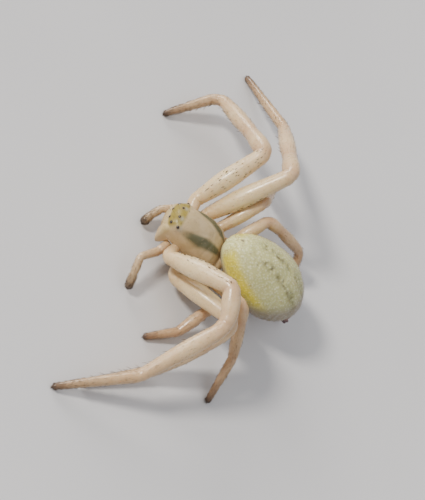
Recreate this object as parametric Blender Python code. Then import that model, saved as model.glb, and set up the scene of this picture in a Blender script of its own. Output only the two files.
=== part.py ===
"""A white crab spider, an adult female, standing still, at life size.

The head looks along -Y, the spider's left is +X and the floor is z = 0. Sizes and places
below are in millimetres and become metres when a mesh is made. The origin is under the
middle of the whole spider, on the floor.
"""

import math

import bmesh
import bpy
import numpy as np
from mathutils import Matrix, Vector

MM = 0.001
GAP = 0.08

# Carapace: the shield over the head and chest, as a loft from the face back.
CARAPACE_FRONT_Y = -2.0
CARAPACE_LENGTH = 3.5
CARAPACE_RIM_Z = 1.75
CARAPACE_STATIONS = (0.0, 0.12, 0.3, 0.55, 0.8, 1.0)
CARAPACE_HALF_WIDTHS = (0.93, 0.97, 1.06, 1.22, 1.28, 0.98)
CARAPACE_HEIGHTS = (1.02, 1.08, 1.17, 1.12, 0.83, 0.36)
CARAPACE_DEPTHS = (0.42, 0.42, 0.42, 0.45, 0.48, 0.4)
CARAPACE_END_POWER = 4.5
CARAPACE_SECTION_POWER = 2.15
CARAPACE_UNDER_POWER = 4.0

# Sternum: the plate between the bases of the legs.
STERNUM_SIZE = (1.45, 2.1, 0.5)
STERNUM_CENTRE = (0.0, 0.05, 1.0)

# Abdomen: an egg, widest behind its middle, tipped down at the rear.
ABDOMEN_FRONT = (0.0, 1.1, 2.98)
ABDOMEN_LENGTH = 5.55
ABDOMEN_PITCH = 14.0
ABDOMEN_STATIONS = (0.0, 0.15, 0.4, 0.62, 0.85, 1.0)
ABDOMEN_HALF_WIDTHS = (1.35, 1.5, 1.74, 1.88, 1.75, 1.5)
ABDOMEN_HEIGHTS = (1.4, 1.5, 1.65, 1.7, 1.55, 1.35)
ABDOMEN_DEPTHS = (1.25, 1.35, 1.5, 1.6, 1.55, 1.4)
ABDOMEN_END_POWER = 2.4

# Pedicel, the narrow waist, and the spinnerets under the tail.
PEDICEL_START = (0.0, 1.2, 1.5)
PEDICEL_END = (0.0, 2.1, 1.95)
PEDICEL_RADIUS = 0.3
SPINNERET_ROOT = (0.0, 5.85, 0.95)
SPINNERET_TIP = (0.0, 6.9, 0.5)
SPINNERET_RADIUS = 0.26

# Chelicerae: the two jaws under the face. Each is a wedge with a flat front, nearly square
# from above, given at a few heights from its top to its tip, for the left side.
JAW_TOP_Z = 2.15
JAW_TIP_Z = 0.46
JAW_SHARES = (0.0, 0.24, 0.53, 0.8, 1.0)
JAW_CENTRES = (0.46, 0.47, 0.48, 0.48, 0.46)
JAW_HALF_WIDTHS = (0.4, 0.42, 0.43, 0.42, 0.37)
JAW_FRONTS = (-1.92, -1.965, -1.89, -1.8, -1.6)
JAW_BACKS = (-1.0, -1.05, -1.12, -1.3, -1.46)
JAW_FRONT_SHARE = 0.65
JAW_SECTION_POWER = 3.2
JAW_END_POWER = 8.0
JAW_GRID = (16, 20)

# Mouthparts: the lip and lobes behind the jaws, as one rounded lump.
MOUTHPARTS_CENTRE = (0.0, -1.0, 0.92)
MOUTHPARTS_RADII = (0.42, 0.24, 0.32)

# Eyes: two rows of four that curve back at their ends, given for the left side.
EYES = {
    "eye_front_middle": ((0.255, -1.965, 2.16), 0.07),
    "eye_front_side": ((0.58, -1.85, 2.325), 0.08),
    "eye_rear_middle": ((0.28, -1.7, 2.67), 0.065),
    "eye_rear_side": ((0.765, -1.505, 2.535), 0.075),
}
TUBERCLE_CENTRE = (0.68, -1.6, 2.3)
TUBERCLE_RADII = (0.26, 0.34, 0.24)

# Legs: each starts at a root under the shield and stands by its hip, knee, ankle and toe.
# bow is how far the femur arches off its straight line, sag the same for the shin past the
# knee cap, and girth scales how thick the femur is.
LEG_PARTS = ("coxa", "femur", "patella", "tibia", "foot")
ROOTS = {1: (0.9, -0.7, 1.3), 2: (1.05, -0.14, 1.25), 3: (1.05, 0.42, 1.28), 4: (0.85, 1.05, 1.28)}
SMALL_BOW = (0.0, 0.0, 0.12)
SMALL_SAG = (0.0, 0.0, 0.1)
STANCE = {
    ("left", 1): dict(
        hip=(1.9, -1.0, 1.6), knee=(3.09, 1.62, 4.4), ankle=(8.54, 0.08, 1.75), toe=(10.7, -3.07),
        bow=SMALL_BOW, sag=(-0.15, 1.28, 0.5), girth=1.0,
    ),
    ("left", 2): dict(
        hip=(2.15, -0.02, 0.83), knee=(3.68, 3.1, 3.0), ankle=(7.25, 0.99, 0.42), toe=(9.7, -1.82),
        bow=SMALL_BOW, sag=(0.2, 0.15, -0.12), girth=0.92,
    ),
    ("left", 3): dict(
        hip=(1.7, 0.64, 1.25), knee=(2.5, 2.4, 1.42), ankle=(4.4, 1.57, 0.42), toe=(5.6, 0.1),
        bow=(0.0, 0.0, -0.06), sag=SMALL_SAG, girth=1.0,
    ),
    ("left", 4): dict(
        hip=(1.42, 1.35, 1.4), knee=(2.33, 3.34, 2.6), ankle=(4.44, 4.46, 1.29), toe=(6.6, 4.6),
        bow=SMALL_BOW, sag=SMALL_SAG, girth=1.0,
    ),
    ("right", 1): dict(
        hip=(-2.0, -0.85, 1.47), knee=(-5.1, 0.63, 4.16), ankle=(-8.77, -1.83, 1.2), toe=(-6.4, -3.9),
        bow=SMALL_BOW, sag=SMALL_SAG, girth=1.0,
    ),
    ("right", 2): dict(
        hip=(-1.8, 0.1, 1.3), knee=(-4.47, 2.16, 4.73), ankle=(-9.1, 1.9, 2.0), toe=(-12.0, -0.5),
        bow=SMALL_BOW, sag=SMALL_SAG, girth=1.0,
    ),
    ("right", 3): dict(
        hip=(-1.52, 0.98, 1.28), knee=(-3.22, 2.04, 3.1), ankle=(-5.4, 2.75, 1.7), toe=(-6.4, 3.1),
        bow=SMALL_BOW, sag=SMALL_SAG, girth=1.0,
    ),
    ("right", 4): dict(
        hip=(-1.2, 1.95, 1.2), knee=(-2.91, 2.86, 2.6), ankle=(-3.3, 5.7, 1.6), toe=(-2.2, 6.4),
        bow=SMALL_BOW, sag=SMALL_SAG, girth=1.0,
    ),
}
PATELLA_SHARE = 0.34
HIP_END = 0.32
TOE_HEIGHT = 0.11
BEND_RADII = {"hip": 0.42, "arch": 4.0, "knee": 0.45, "shin": 1.5, "ankle": 0.7}
LONG_LEG = {
    "coxa": (0.27, 0.37, 0.4),
    "femur": (0.42, 0.53, 0.42),
    "patella": (0.42, 0.47, 0.4),
    "tibia": (0.38, 0.43, 0.31),
    "foot": (0.3, 0.26, 0.15),
}
SHORT_LEG = {
    "coxa": (0.27, 0.34, 0.32),
    "femur": (0.3, 0.36, 0.3),
    "patella": (0.3, 0.33, 0.28),
    "tibia": (0.28, 0.31, 0.25),
    "foot": (0.24, 0.22, 0.14),
}
RING_SHARES = {
    "coxa": (0.0, 0.3, 0.55, 0.7, 0.85, 1.0),
    "femur": (0.0, 0.12, 0.3, 0.5, 0.68, 0.8, 0.87, 0.93, 1.0),
    "patella": (0.0, 0.13, 0.27, 0.45, 0.75, 1.0),
    "tibia": (0.0, 0.15, 0.35, 0.6, 0.82, 0.92, 1.0),
    "foot": (0.0, 0.07, 0.14, 0.4, 0.7, 0.9),
}
LEG_SIDES = 12

# Palps: the two short feelers beside the jaws.
PALP_POINTS = {
    "left": (
        (0.8, -1.05, 1.0), (1.45, -1.3, 0.87), (2.5, -2.13, 1.12), (3.25, -1.96, 0.75), (3.9, -1.75, 0.28),
    ),
    "right": (
        (-0.8, -1.05, 1.0), (-1.2, -1.45, 1.0), (-0.86, -2.04, 0.77), (-0.4, -2.3, 0.5), (0.2, -2.5, 0.27),
    ),
}
PALP_RADII = (0.22, 0.23, 0.2, 0.2, 0.17)
PALP_BEND = 0.26
PALP_SIDES = 10

COLOURS = {
    "leg": ((0.78, 0.68, 0.5, 1.0), 0.35),
    "carapace": ((0.62, 0.5, 0.33, 1.0), 0.4),
    "abdomen": ((0.72, 0.74, 0.5, 1.0), 0.5),
    "eye": ((0.01, 0.008, 0.008, 1.0), 0.12),
    "spinneret": ((0.25, 0.17, 0.16, 1.0), 0.55),
}


def clear_scene():
    """Takes every object out of the open scene."""
    for item in list(bpy.data.objects):
        bpy.data.objects.remove(item, do_unlink=True)


def make_collection(name):
    """Adds a collection to the scene."""
    made = bpy.data.collections.new(name)
    bpy.context.scene.collection.children.link(made)
    return made


def make_material(name):
    """A Principled material with the colour and roughness of one kind of skin."""
    colour, roughness = COLOURS[name]
    made = bpy.data.materials.new(name)
    made.use_nodes = True
    shader = made.node_tree.nodes["Principled BSDF"]
    shader.inputs["Base Color"].default_value = colour
    shader.inputs["Roughness"].default_value = roughness
    made.diffuse_color = colour
    return made


def mesh_object(name, body, material, collection):
    """Turns a bmesh in millimetres into a named object in metres, with smooth faces."""
    bmesh.ops.scale(body, vec=(MM, MM, MM), verts=body.verts)
    bmesh.ops.recalc_face_normals(body, faces=body.faces)
    mesh = bpy.data.meshes.new(name)
    body.to_mesh(mesh)
    body.free()
    mesh.shade_smooth()
    mesh.set_sharp_from_angle(angle=math.radians(50))
    made = bpy.data.objects.new(name, mesh)
    if material is not None:
        mesh.materials.append(material)
    collection.objects.link(made)
    return made


def loft(rings):
    """Joins rings of points into one closed body; a ring of one point closes an end to a tip."""
    body = bmesh.new()
    rows = [[body.verts.new(point) for point in ring] for ring in rings]
    for near, far in zip(rows, rows[1:]):
        sides = max(len(near), len(far))
        for k in range(sides):
            corners = [near[k % len(near)], near[(k + 1) % len(near)]]
            corners += [far[(k + 1) % len(far)], far[k % len(far)]]
            body.faces.new(list(dict.fromkeys(corners)))
    for end in (rows[0], rows[-1]):
        if len(end) > 1:
            body.faces.new(end)
    return body


def smooth_values(stations, values, at):
    """Reads a curve without overshoot through the named stations at the given shares."""
    x = np.array(stations)
    y = np.array(values)
    run = np.diff(x)
    slope = np.diff(y) / run
    lean = np.zeros(len(x))
    lean[0] = slope[0]
    lean[-1] = slope[-1]
    product = slope[:-1] * slope[1:]
    mean = 2 * product / np.where(product > 0, slope[:-1] + slope[1:], 1.0)
    lean[1:-1] = np.where(product > 0, mean, 0.0)
    k = np.clip(np.searchsorted(x, at, side="right") - 1, 0, len(run) - 1)
    t = (at - x[k]) / run[k]
    start = (1 + 2 * t) * (1 - t) ** 2 * y[k] + t * (1 - t) ** 2 * run[k] * lean[k]
    end = t * t * (3 - 2 * t) * y[k + 1] + t * t * (t - 1) * run[k] * lean[k + 1]
    return start + end


def body_rings(shape, grow, count, sides):
    """Sections of a rounded body along its own axis, each an oval with its own top and bottom.

    The ends close by a superellipse, so a high power makes a blunt end. grow swells the whole
    body by that many millimetres, for the cutters.
    """
    share = (1 - np.cos(np.linspace(0, math.pi, count))) / 2
    close = (1 - np.abs(2 * share - 1) ** shape["end_power"]).clip(0) ** (1 / shape["end_power"])
    reach = shape["length"] + 2 * grow
    front = Vector(shape["front"])
    pitch = math.radians(shape["pitch"])
    along = Vector((0, math.cos(pitch), -math.sin(pitch)))
    up = Vector((0, math.sin(pitch), math.cos(pitch)))
    sizes = [
        (smooth_values(shape["stations"], shape[key], share) + grow) * close
        for key in ("half_widths", "heights", "depths")
    ]
    rings = [[front - along * grow]]
    for k in range(1, count - 1):
        centre = front + along * (share[k] * reach - grow)
        ring = []
        for turn in np.linspace(0, 2 * math.pi, sides, endpoint=False):
            power = 2 / (shape["section_power"] if math.sin(turn) > 0 else shape["under_power"])
            side = math.copysign(abs(math.cos(turn)) ** power, math.cos(turn))
            rise = math.copysign(abs(math.sin(turn)) ** power, math.sin(turn))
            tall = sizes[1][k] if rise > 0 else sizes[2][k]
            ring.append(centre + Vector((side * sizes[0][k], 0, 0)) + up * rise * tall)
        rings.append(ring)
    rings.append([front + along * (shape["length"] + grow)])
    return rings


CARAPACE = dict(
    front=(0.0, CARAPACE_FRONT_Y, CARAPACE_RIM_Z),
    length=CARAPACE_LENGTH,
    pitch=0.0,
    stations=CARAPACE_STATIONS,
    half_widths=CARAPACE_HALF_WIDTHS,
    heights=CARAPACE_HEIGHTS,
    depths=CARAPACE_DEPTHS,
    end_power=CARAPACE_END_POWER,
    section_power=CARAPACE_SECTION_POWER,
    under_power=CARAPACE_UNDER_POWER,
)
ABDOMEN = dict(
    front=ABDOMEN_FRONT,
    length=ABDOMEN_LENGTH,
    pitch=ABDOMEN_PITCH,
    stations=ABDOMEN_STATIONS,
    half_widths=ABDOMEN_HALF_WIDTHS,
    heights=ABDOMEN_HEIGHTS,
    depths=ABDOMEN_DEPTHS,
    end_power=ABDOMEN_END_POWER,
    section_power=2.0,
    under_power=2.0,
)


def jaw_rings(mirror, grow, count, sides):
    """Level sections of one jaw, from its top to its tip, as nearly square ovals.

    Both ends close by a superellipse, and grow swells the jaw for the cutters.
    """
    share = (1 - np.cos(np.linspace(0, math.pi, count))) / 2
    close = (1 - np.abs(2 * share - 1) ** JAW_END_POWER).clip(0) ** (1 / JAW_END_POWER)
    centre, half, front, back = [
        smooth_values(JAW_SHARES, values, share)
        for values in (JAW_CENTRES, JAW_HALF_WIDTHS, JAW_FRONTS, JAW_BACKS)
    ]
    middle = front * JAW_FRONT_SHARE + back * (1 - JAW_FRONT_SHARE)
    height = JAW_TOP_Z + grow + (JAW_TIP_Z - JAW_TOP_Z - 2 * grow) * share
    power = 2 / JAW_SECTION_POWER
    rings = [[Vector((mirror * centre[0], middle[0], height[0]))]]
    for k in range(1, count - 1):
        ring = []
        for turn in np.linspace(0, 2 * math.pi, sides, endpoint=False):
            side = math.copysign(abs(math.cos(turn)) ** power, math.cos(turn))
            behind = math.copysign(abs(math.sin(turn)) ** power, math.sin(turn))
            depth = back[k] - middle[k] if behind > 0 else middle[k] - front[k]
            x = mirror * (centre[k] + (half[k] + grow) * side * close[k])
            y = middle[k] + (depth + grow) * behind * close[k]
            ring.append(Vector((x, y, height[k])))
        rings.append(ring)
    rings.append([Vector((mirror * centre[-1], middle[-1], height[-1]))])
    return rings


def ball(centre, radii, grow, segments=16):
    """An oval ball as a bmesh, from a sphere that is stretched to three radii."""
    body = bmesh.new()
    sizes = [radius + grow for radius in radii]
    place = Matrix.Translation(centre) @ Matrix.Diagonal((*sizes, 1.0))
    bmesh.ops.create_uvsphere(body, u_segments=segments, v_segments=segments // 2, radius=1.0, matrix=place)
    return body


def rounded_path(points, radii):
    """A fine polyline through points whose corners are arcs, and each corner's place along it."""
    line = [Vector(points[0])]
    corners = []
    for before, here, after, radius in zip(points, points[1:], points[2:], radii):
        corner = Vector(here)
        into = (corner - Vector(before)).normalized()
        out = (Vector(after) - corner).normalized()
        turn = into.angle(out)
        start = corner - into * radius * math.tan(turn / 2)
        inward = (out - into * out.dot(into)).normalized()
        centre = start + inward * radius
        for angle in np.linspace(0, turn, 13):
            line.append(centre - inward * radius * math.cos(angle) + into * radius * math.sin(angle))
        corners.append(len(line) - 7)
    line.append(Vector(points[-1]))
    fine = np.array([list(point) for point in line])
    run = np.concatenate([[0], np.cumsum(np.linalg.norm(np.diff(fine, axis=0), axis=1))])
    return fine, run, [run[k] for k in corners]


def tube_rings(fine, run, stations, radii, sides, side_hint):
    """Round sections square to a path, at the given distances along it."""
    rings = []
    normal = Vector(side_hint)
    for place, radius in zip(stations, radii):
        centre = Vector([np.interp(place, run, fine[:, axis]) for axis in range(3)])
        ahead = Vector([np.interp(place + 0.02, run, fine[:, axis]) for axis in range(3)])
        back = Vector([np.interp(place - 0.02, run, fine[:, axis]) for axis in range(3)])
        along = (ahead - back).normalized()
        normal = (normal - along * normal.dot(along)).normalized()
        across = along.cross(normal)
        ring = []
        for turn in np.linspace(0, 2 * math.pi, sides, endpoint=False):
            ring.append(centre + (normal * math.cos(turn) + across * math.sin(turn)) * radius)
        rings.append(ring)
    return rings


def round_end(rings, radius, sides):
    """Closes the last ring with a dome of the same radius, down to one point."""
    last = rings[-1]
    centre = sum(last, Vector()) / sides
    before = sum(rings[-2], Vector()) / sides
    along = (centre - before).normalized()
    for angle in (35, 65):
        turn = math.radians(angle)
        shift = along * radius * math.sin(turn)
        rings.append([centre + (point - centre) * math.cos(turn) + shift for point in last])
    rings.append([centre + along * radius])
    return rings


def flatten_on_floor(rings):
    """Lifts whatever dips under the floor up to it, which leaves a small flat to stand on."""
    return [[Vector((p.x, p.y, max(p.z, 0.0))) for p in ring] for ring in rings]


def leg_path(side, number):
    """One leg's centre line, from its root under the shield to its toe, and its joints' places."""
    mirror = 1 if side == "left" else -1
    root = Vector((mirror * ROOTS[number][0], *ROOTS[number][1:]))
    pose = STANCE[(side, number)]
    hip = Vector(pose["hip"])
    knee = Vector(pose["knee"])
    ankle = Vector(pose["ankle"])
    toe = Vector((*pose["toe"], TOE_HEIGHT))
    arch = (hip + knee) / 2 + Vector(pose["bow"])
    shin = knee.lerp(ankle, PATELLA_SHARE) + Vector(pose["sag"])
    points = [root, hip, arch, knee, shin, ankle, toe]
    bends = [BEND_RADII[joint] for joint in ("hip", "arch", "knee", "shin", "ankle")]
    fine, run, corners = rounded_path(points, bends)
    joints = [0.0, corners[0] + HIP_END, *corners[2:], run[-1]]
    return fine, run, joints


def make_leg(side, number, material, cutters, collection):
    """Five nodes of one leg: one tube from hip to toe, parted at the joints by thin cuts."""
    fine, run, joints = leg_path(side, number)
    thickness = LONG_LEG if number < 3 else SHORT_LEG
    made = []
    for k, part in enumerate(LEG_PARTS):
        start = joints[k] + (GAP / 2 if k else 0)
        end = joints[k + 1] - (0 if part == "foot" else GAP / 2)
        shares = np.array(RING_SHARES[part])
        radii = smooth_values((0.0, 0.4, 1.0), thickness[part], shares)
        if part == "femur":
            radii = radii * STANCE[(side, number)]["girth"]
        stations = start + (end - start) * shares
        if part == "foot":
            stations[-1] = end - radii[-1]
        rings = tube_rings(fine, run, stations, radii, LEG_SIDES, (0.1, 0.2, 1.0))
        if part == "foot":
            rings = flatten_on_floor(round_end(rings, radii[-1], LEG_SIDES))
        name = f"leg_{side}_{number}_{part}"
        node = mesh_object(name, loft(rings), material, collection)
        if part == "coxa":
            cut_from(node, cutters)
        made.append(node)
    return made


def make_palp(side, material, cutters, collection):
    """One palp: a thin bent tube from beside the jaws to its blunt tip."""
    points = PALP_POINTS[side]
    fine, run, corners = rounded_path(points, [PALP_BEND] * (len(points) - 2))
    knots = [0.0, *corners, run[-1]]
    stations = []
    for near, far in zip(knots, knots[1:]):
        stations += [near, near + (far - near) * 0.25, near + (far - near) * 0.7]
    stations.append(run[-1] - PALP_RADII[-1])
    radii = np.interp(stations, knots, PALP_RADII)
    rings = tube_rings(fine, run, stations, radii, PALP_SIDES, (0.1, 0.2, 1.0))
    rings = round_end(rings, PALP_RADII[-1], PALP_SIDES)
    node = mesh_object(f"palp_{side}", loft(rings), material, collection)
    cut_from(node, cutters)
    return node


def cut_from(node, cutters):
    """Cuts the cutters out of a node, one by one, and keeps its largest closed piece."""
    for cutter in cutters:
        cut = node.modifiers.new("cut", "BOOLEAN")
        cut.operation = "DIFFERENCE"
        cut.solver = "EXACT"
        cut.object = cutter
    settle(node)


def settle(node):
    """Applies a node's modifiers and keeps only its largest closed surface."""
    graph = bpy.context.evaluated_depsgraph_get()
    body = bmesh.new()
    body.from_mesh(bpy.data.meshes.new_from_object(node.evaluated_get(graph)))
    node.modifiers.clear()
    bmesh.ops.remove_doubles(body, verts=body.verts, dist=0.002 * MM)
    keep_largest(body)
    body.to_mesh(node.data)
    body.free()
    node.data.shade_smooth()
    node.data.set_sharp_from_angle(angle=math.radians(50))


def keep_largest(body):
    """Drops every piece of a bmesh but the one with the most faces."""
    left = set(body.faces)
    pieces = []
    while left:
        stack = [left.pop()]
        piece = set(stack)
        while stack:
            face = stack.pop()
            near = {other for edge in face.edges for other in edge.link_faces}
            fresh = near & left
            left -= fresh
            piece |= fresh
            stack += list(fresh)
        pieces.append(piece)
    largest = max(pieces, key=len)
    spare = [face for face in body.faces if face not in largest]
    bmesh.ops.delete(body, geom=spare, context="FACES")


def make_cutter(name, body, collection):
    """A hidden wire shape that cuts its neighbours clear of a grown part."""
    made = mesh_object(name, body, None, collection)
    made.hide_render = True
    made.display_type = "WIRE"
    return made


def join_into(node, helpers):
    """Joins helper shapes to a node by Boolean unions and removes them."""
    for helper in helpers:
        add = node.modifiers.new("join", "BOOLEAN")
        add.operation = "UNION"
        add.solver = "EXACT"
        add.object = helper
    settle(node)
    for helper in helpers:
        bpy.data.objects.remove(helper, do_unlink=True)


def make_carapace(materials, cutters_box, parts):
    """The shield, with the low swelling at each side of the head that carries two eyes."""
    node = mesh_object("carapace", loft(body_rings(CARAPACE, 0.0, 26, 28)), materials["carapace"], parts)
    helpers = []
    for mirror in (1, -1):
        centre = (mirror * TUBERCLE_CENTRE[0], *TUBERCLE_CENTRE[1:])
        helpers.append(mesh_object("swelling", ball(centre, TUBERCLE_RADII, 0.0), None, cutters_box))
    join_into(node, helpers)
    return node


def make_eyes(material, collection):
    """Eight small round eyes, four on each side, sunk to half their depth."""
    for name, (centre, radius) in EYES.items():
        for side, mirror in (("left", 1), ("right", -1)):
            place = (mirror * centre[0], centre[1], centre[2])
            mesh_object(f"{name}_{side}", ball(place, (radius,) * 3, 0.0, 10), material, collection)


def make_taper(name, start, end, radii, material, cutters, collection):
    """A short rounded tube between two points, cut clear of its neighbours."""
    fine = np.array([start, end])
    length = float(np.linalg.norm(fine[1] - fine[0]))
    run = np.array([0.0, length])
    stations = np.linspace(0, length - radii[-1], len(radii))
    rings = tube_rings(fine, run, stations, radii, LEG_SIDES, (1.0, 0.0, 0.1))
    node = mesh_object(name, loft(round_end(rings, radii[-1], LEG_SIDES)), material, collection)
    cut_from(node, cutters)
    return node


def stand_over_origin(collection):
    """Moves every node so that the origin lies under the middle of the whole spider."""
    spots = [node.matrix_world @ v.co for node in collection.objects for v in node.data.vertices]
    low = Vector([min(spot[axis] for spot in spots) for axis in range(3)])
    high = Vector([max(spot[axis] for spot in spots) for axis in range(3)])
    middle = (low + high) / 2
    shift = Matrix.Translation((-middle.x, -middle.y, -low.z))
    for node in collection.objects:
        node.data.transform(shift)


def build():
    """Makes every node of the spider."""
    clear_scene()
    parts = make_collection("crab_spider")
    cutters_box = make_collection("cutters")
    materials = {name: make_material(name) for name in COLOURS}

    make_carapace(materials, cutters_box, parts)
    sternum_radii = [size / 2 for size in STERNUM_SIZE]
    shield_cutter = make_cutter("shield_cutter", loft(body_rings(CARAPACE, GAP, 26, 28)), cutters_box)
    plate_cutter = make_cutter("plate_cutter", ball(STERNUM_CENTRE, sternum_radii, GAP, 24), cutters_box)
    tail_cutter = make_cutter("tail_cutter", loft(body_rings(ABDOMEN, GAP, 24, 28)), cutters_box)

    horn = materials["carapace"]
    sternum = mesh_object("sternum", ball(STERNUM_CENTRE, sternum_radii, 0.0, 24), horn, parts)
    cut_from(sternum, [shield_cutter])
    jaw_cutters = []
    for side, mirror in (("left", 1), ("right", -1)):
        rows, sides = JAW_GRID
        jaw = mesh_object(f"chelicera_{side}", loft(jaw_rings(mirror, 0.0, rows, sides)), horn, parts)
        cut_from(jaw, [shield_cutter])
        grown = loft(jaw_rings(mirror, GAP, rows, sides))
        jaw_cutters.append(make_cutter("jaw_cutter", grown, cutters_box))

    mouth = mesh_object("mouthparts", ball(MOUTHPARTS_CENTRE, MOUTHPARTS_RADII, 0.0), horn, parts)
    cut_from(mouth, [shield_cutter, plate_cutter, *jaw_cutters])
    mesh_object("abdomen", loft(body_rings(ABDOMEN, 0.0, 24, 28)), materials["abdomen"], parts)
    waist = [PEDICEL_RADIUS] * 3
    waist_cutters = [shield_cutter, tail_cutter]
    make_taper("pedicel", PEDICEL_START, PEDICEL_END, waist, horn, waist_cutters, parts)
    tail = [SPINNERET_RADIUS, SPINNERET_RADIUS, SPINNERET_RADIUS * 0.7]
    dusky = materials["spinneret"]
    make_taper("spinnerets", SPINNERET_ROOT, SPINNERET_TIP, tail, dusky, [tail_cutter], parts)
    for side in ("left", "right"):
        make_palp(side, materials["leg"], [shield_cutter, plate_cutter, *jaw_cutters], parts)
        for number in ROOTS:
            make_leg(side, number, materials["leg"], [shield_cutter, plate_cutter], parts)
    make_eyes(materials["eye"], parts)
    stand_over_origin(parts)


build()
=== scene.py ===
# %% [markdown]
# A white crab spider, a grown female, standing still at life size: about 9 mm of body and
# legs that span 23 mm. The solids are already made, one for each named part. This notebook
# dresses them: one skin over the whole body, glossy eyes, horny claws, fine hairs, and then
# a floor, a soft light and a camera.
#
# The first step loads the solids. They stay where they are and keep their sizes, so every
# new piece is made in the same place, in metres.

# %% Load the solids
import math

import bpy
import numpy as np
from mathutils import Matrix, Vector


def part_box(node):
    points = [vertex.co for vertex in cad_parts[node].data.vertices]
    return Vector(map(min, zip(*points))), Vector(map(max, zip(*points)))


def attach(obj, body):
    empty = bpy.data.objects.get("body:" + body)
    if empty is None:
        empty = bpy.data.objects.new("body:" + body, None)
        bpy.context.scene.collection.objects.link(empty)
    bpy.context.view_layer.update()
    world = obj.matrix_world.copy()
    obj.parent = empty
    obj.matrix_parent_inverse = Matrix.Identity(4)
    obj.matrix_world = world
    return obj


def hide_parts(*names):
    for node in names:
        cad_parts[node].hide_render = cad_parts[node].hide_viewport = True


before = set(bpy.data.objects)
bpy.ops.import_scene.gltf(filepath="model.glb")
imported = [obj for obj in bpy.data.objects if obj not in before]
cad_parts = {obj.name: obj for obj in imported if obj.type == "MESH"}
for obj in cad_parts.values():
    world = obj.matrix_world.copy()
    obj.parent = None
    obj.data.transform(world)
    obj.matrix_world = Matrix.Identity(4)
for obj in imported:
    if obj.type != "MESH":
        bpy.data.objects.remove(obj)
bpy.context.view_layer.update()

print("solids:", len(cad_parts))

# %% [markdown]
# The spider was planned in millimetres, with its own zero under the shield of the head.
# The loaded solids have their zero under the middle of the whole spider. One eye is in both,
# at a known place, so the difference between the two places is the shift of the plan.

# %% From the plan to the frame
MM = 0.001
KNOWN_EYE = np.array((0.28, -1.7, 2.67))
eye_low, eye_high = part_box("eye_rear_middle_left")
SHIFT = (np.array(eye_low) + np.array(eye_high)) / 2 - KNOWN_EYE * MM
SHIFT[2] = 0.0


def in_frame(points):
    """Plan millimetres to frame metres: a thousandth of the place, plus the shift."""
    return np.asarray(points) * MM + SHIFT


print("shift of the plan in mm:", np.round(SHIFT / MM, 4))

# %% [markdown]
# Almost every part of a spider is a rounded tube or an egg, closed at both ends. Such a
# shape is a grid of points: rows go along it, sides go round it, and one more point closes
# each end. The faces follow from counting alone, so one helper serves all of them. It also
# measures the signed volume and turns the faces round if they would look inwards.

# %% Grids of points become meshes
def wrap_faces(rows, sides):
    """Faces of a closed skin: row r, side k joins row r + 1, side k + 1 in a quad, and the
    first and last rows fan out to the two end points, which come after all rows."""
    here = np.arange(sides)
    ahead = (here + 1) % sides
    start = (np.arange(rows - 1) * sides)[:, None]
    quads = [start + here, start + ahead, start + sides + ahead, start + sides + here]
    last = (rows - 1) * sides
    first_fan = [np.full(sides, rows * sides), ahead, here]
    last_fan = [np.full(sides, rows * sides + 1), last + here, last + ahead]
    fans = np.concatenate([np.stack(first_fan, -1), np.stack(last_fan, -1)])
    return np.stack(quads, -1).reshape(-1, 4), fans


def repeated(faces, count, step):
    """The same faces for many equal pieces, whose points come one piece after another."""
    offset = (np.arange(count) * step)[:, None, None]
    return [(corners + offset).reshape(-1, corners.shape[1]) for corners in faces]


def signed_volume(points, faces):
    """Sixth of the sum of a . (b x c) over the faces' triangles; negative if inside out."""
    total = 0.0
    for corners in faces:
        for k in range(1, corners.shape[1] - 1):
            a, b, c = points[corners[:, 0]], points[corners[:, k]], points[corners[:, k + 1]]
            total += (a * np.cross(b, c)).sum() / 6
    return total


def placed(name, data):
    """A new object in the scene that holds a mesh, a lamp or a camera."""
    made = bpy.data.objects.new(name, data)
    bpy.context.scene.collection.objects.link(made)
    return made


def new_mesh(name, points, faces, material):
    """An object from points and face arrays, smooth, with its faces turned outwards."""
    if signed_volume(points, faces) < 0:
        faces = [corners[:, ::-1] for corners in faces]
    mesh = bpy.data.meshes.new(name)
    mesh.from_pydata(points.tolist(), [], [face for corners in faces for face in corners.tolist()])
    mesh.shade_smooth()
    mesh.materials.append(material)
    return placed(name, mesh)


def closed_piece(name, grid, ends, material):
    """A closed skin from a grid of rows by sides by 3 and its two end points."""
    points = np.concatenate([grid.reshape(-1, 3), np.asarray(ends)])
    return new_mesh(name, points, wrap_faces(*grid.shape[:2]), material)


print("quads and end faces of 3 rows by 4 sides:", [len(part) for part in wrap_faces(3, 4)])

# %% [markdown]
# Sizes along a leg or the body are given at a few places only. Between them runs a smooth
# curve that never overshoots, so a thickness can't bulge where none was asked for. The other
# small helpers mix values given at places, give angles and shares, fade a value in between
# two limits and make vectors one long.

# %% Curves, angles and fades
def smooth_values(stations, values, at):
    """A cubic through the stations whose slope at each is the harmonic mean of its two
    neighbours' slopes, or level where they differ in sign, read at the given places."""
    x = np.array(stations)
    y = np.array(values)
    run = np.diff(x)
    slope = np.diff(y) / run
    product = slope[:-1] * slope[1:]
    mean = 2 * product / np.where(product > 0, slope[:-1] + slope[1:], 1.0)
    lean = np.concatenate([slope[:1], np.where(product > 0, mean, 0.0), slope[-1:]])
    k = np.clip(np.searchsorted(x, at, side="right") - 1, 0, len(run) - 1)
    t = (at - x[k]) / run[k]
    start = (1 + 2 * t) * (1 - t) ** 2 * y[k] + t * (1 - t) ** 2 * run[k] * lean[k]
    end = t * t * (3 - 2 * t) * y[k + 1] + t * t * (t - 1) * run[k] * lean[k + 1]
    return start + end


def mixed_along(places, values, at):
    """Points or colours that are given at some places, mixed evenly between them."""
    return np.stack([np.interp(at, places, column) for column in np.array(values).T], -1)


def round_angles(sides):
    """Angles that go evenly round a full turn."""
    return np.linspace(0, 2 * math.pi, sides, endpoint=False)


def crowded(rows):
    """Shares from 0 to 1 that crowd towards both ends: half of 1 less the cosine."""
    return (1 - np.cos(np.linspace(0, math.pi, rows + 2)[1:-1])) / 2


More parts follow.
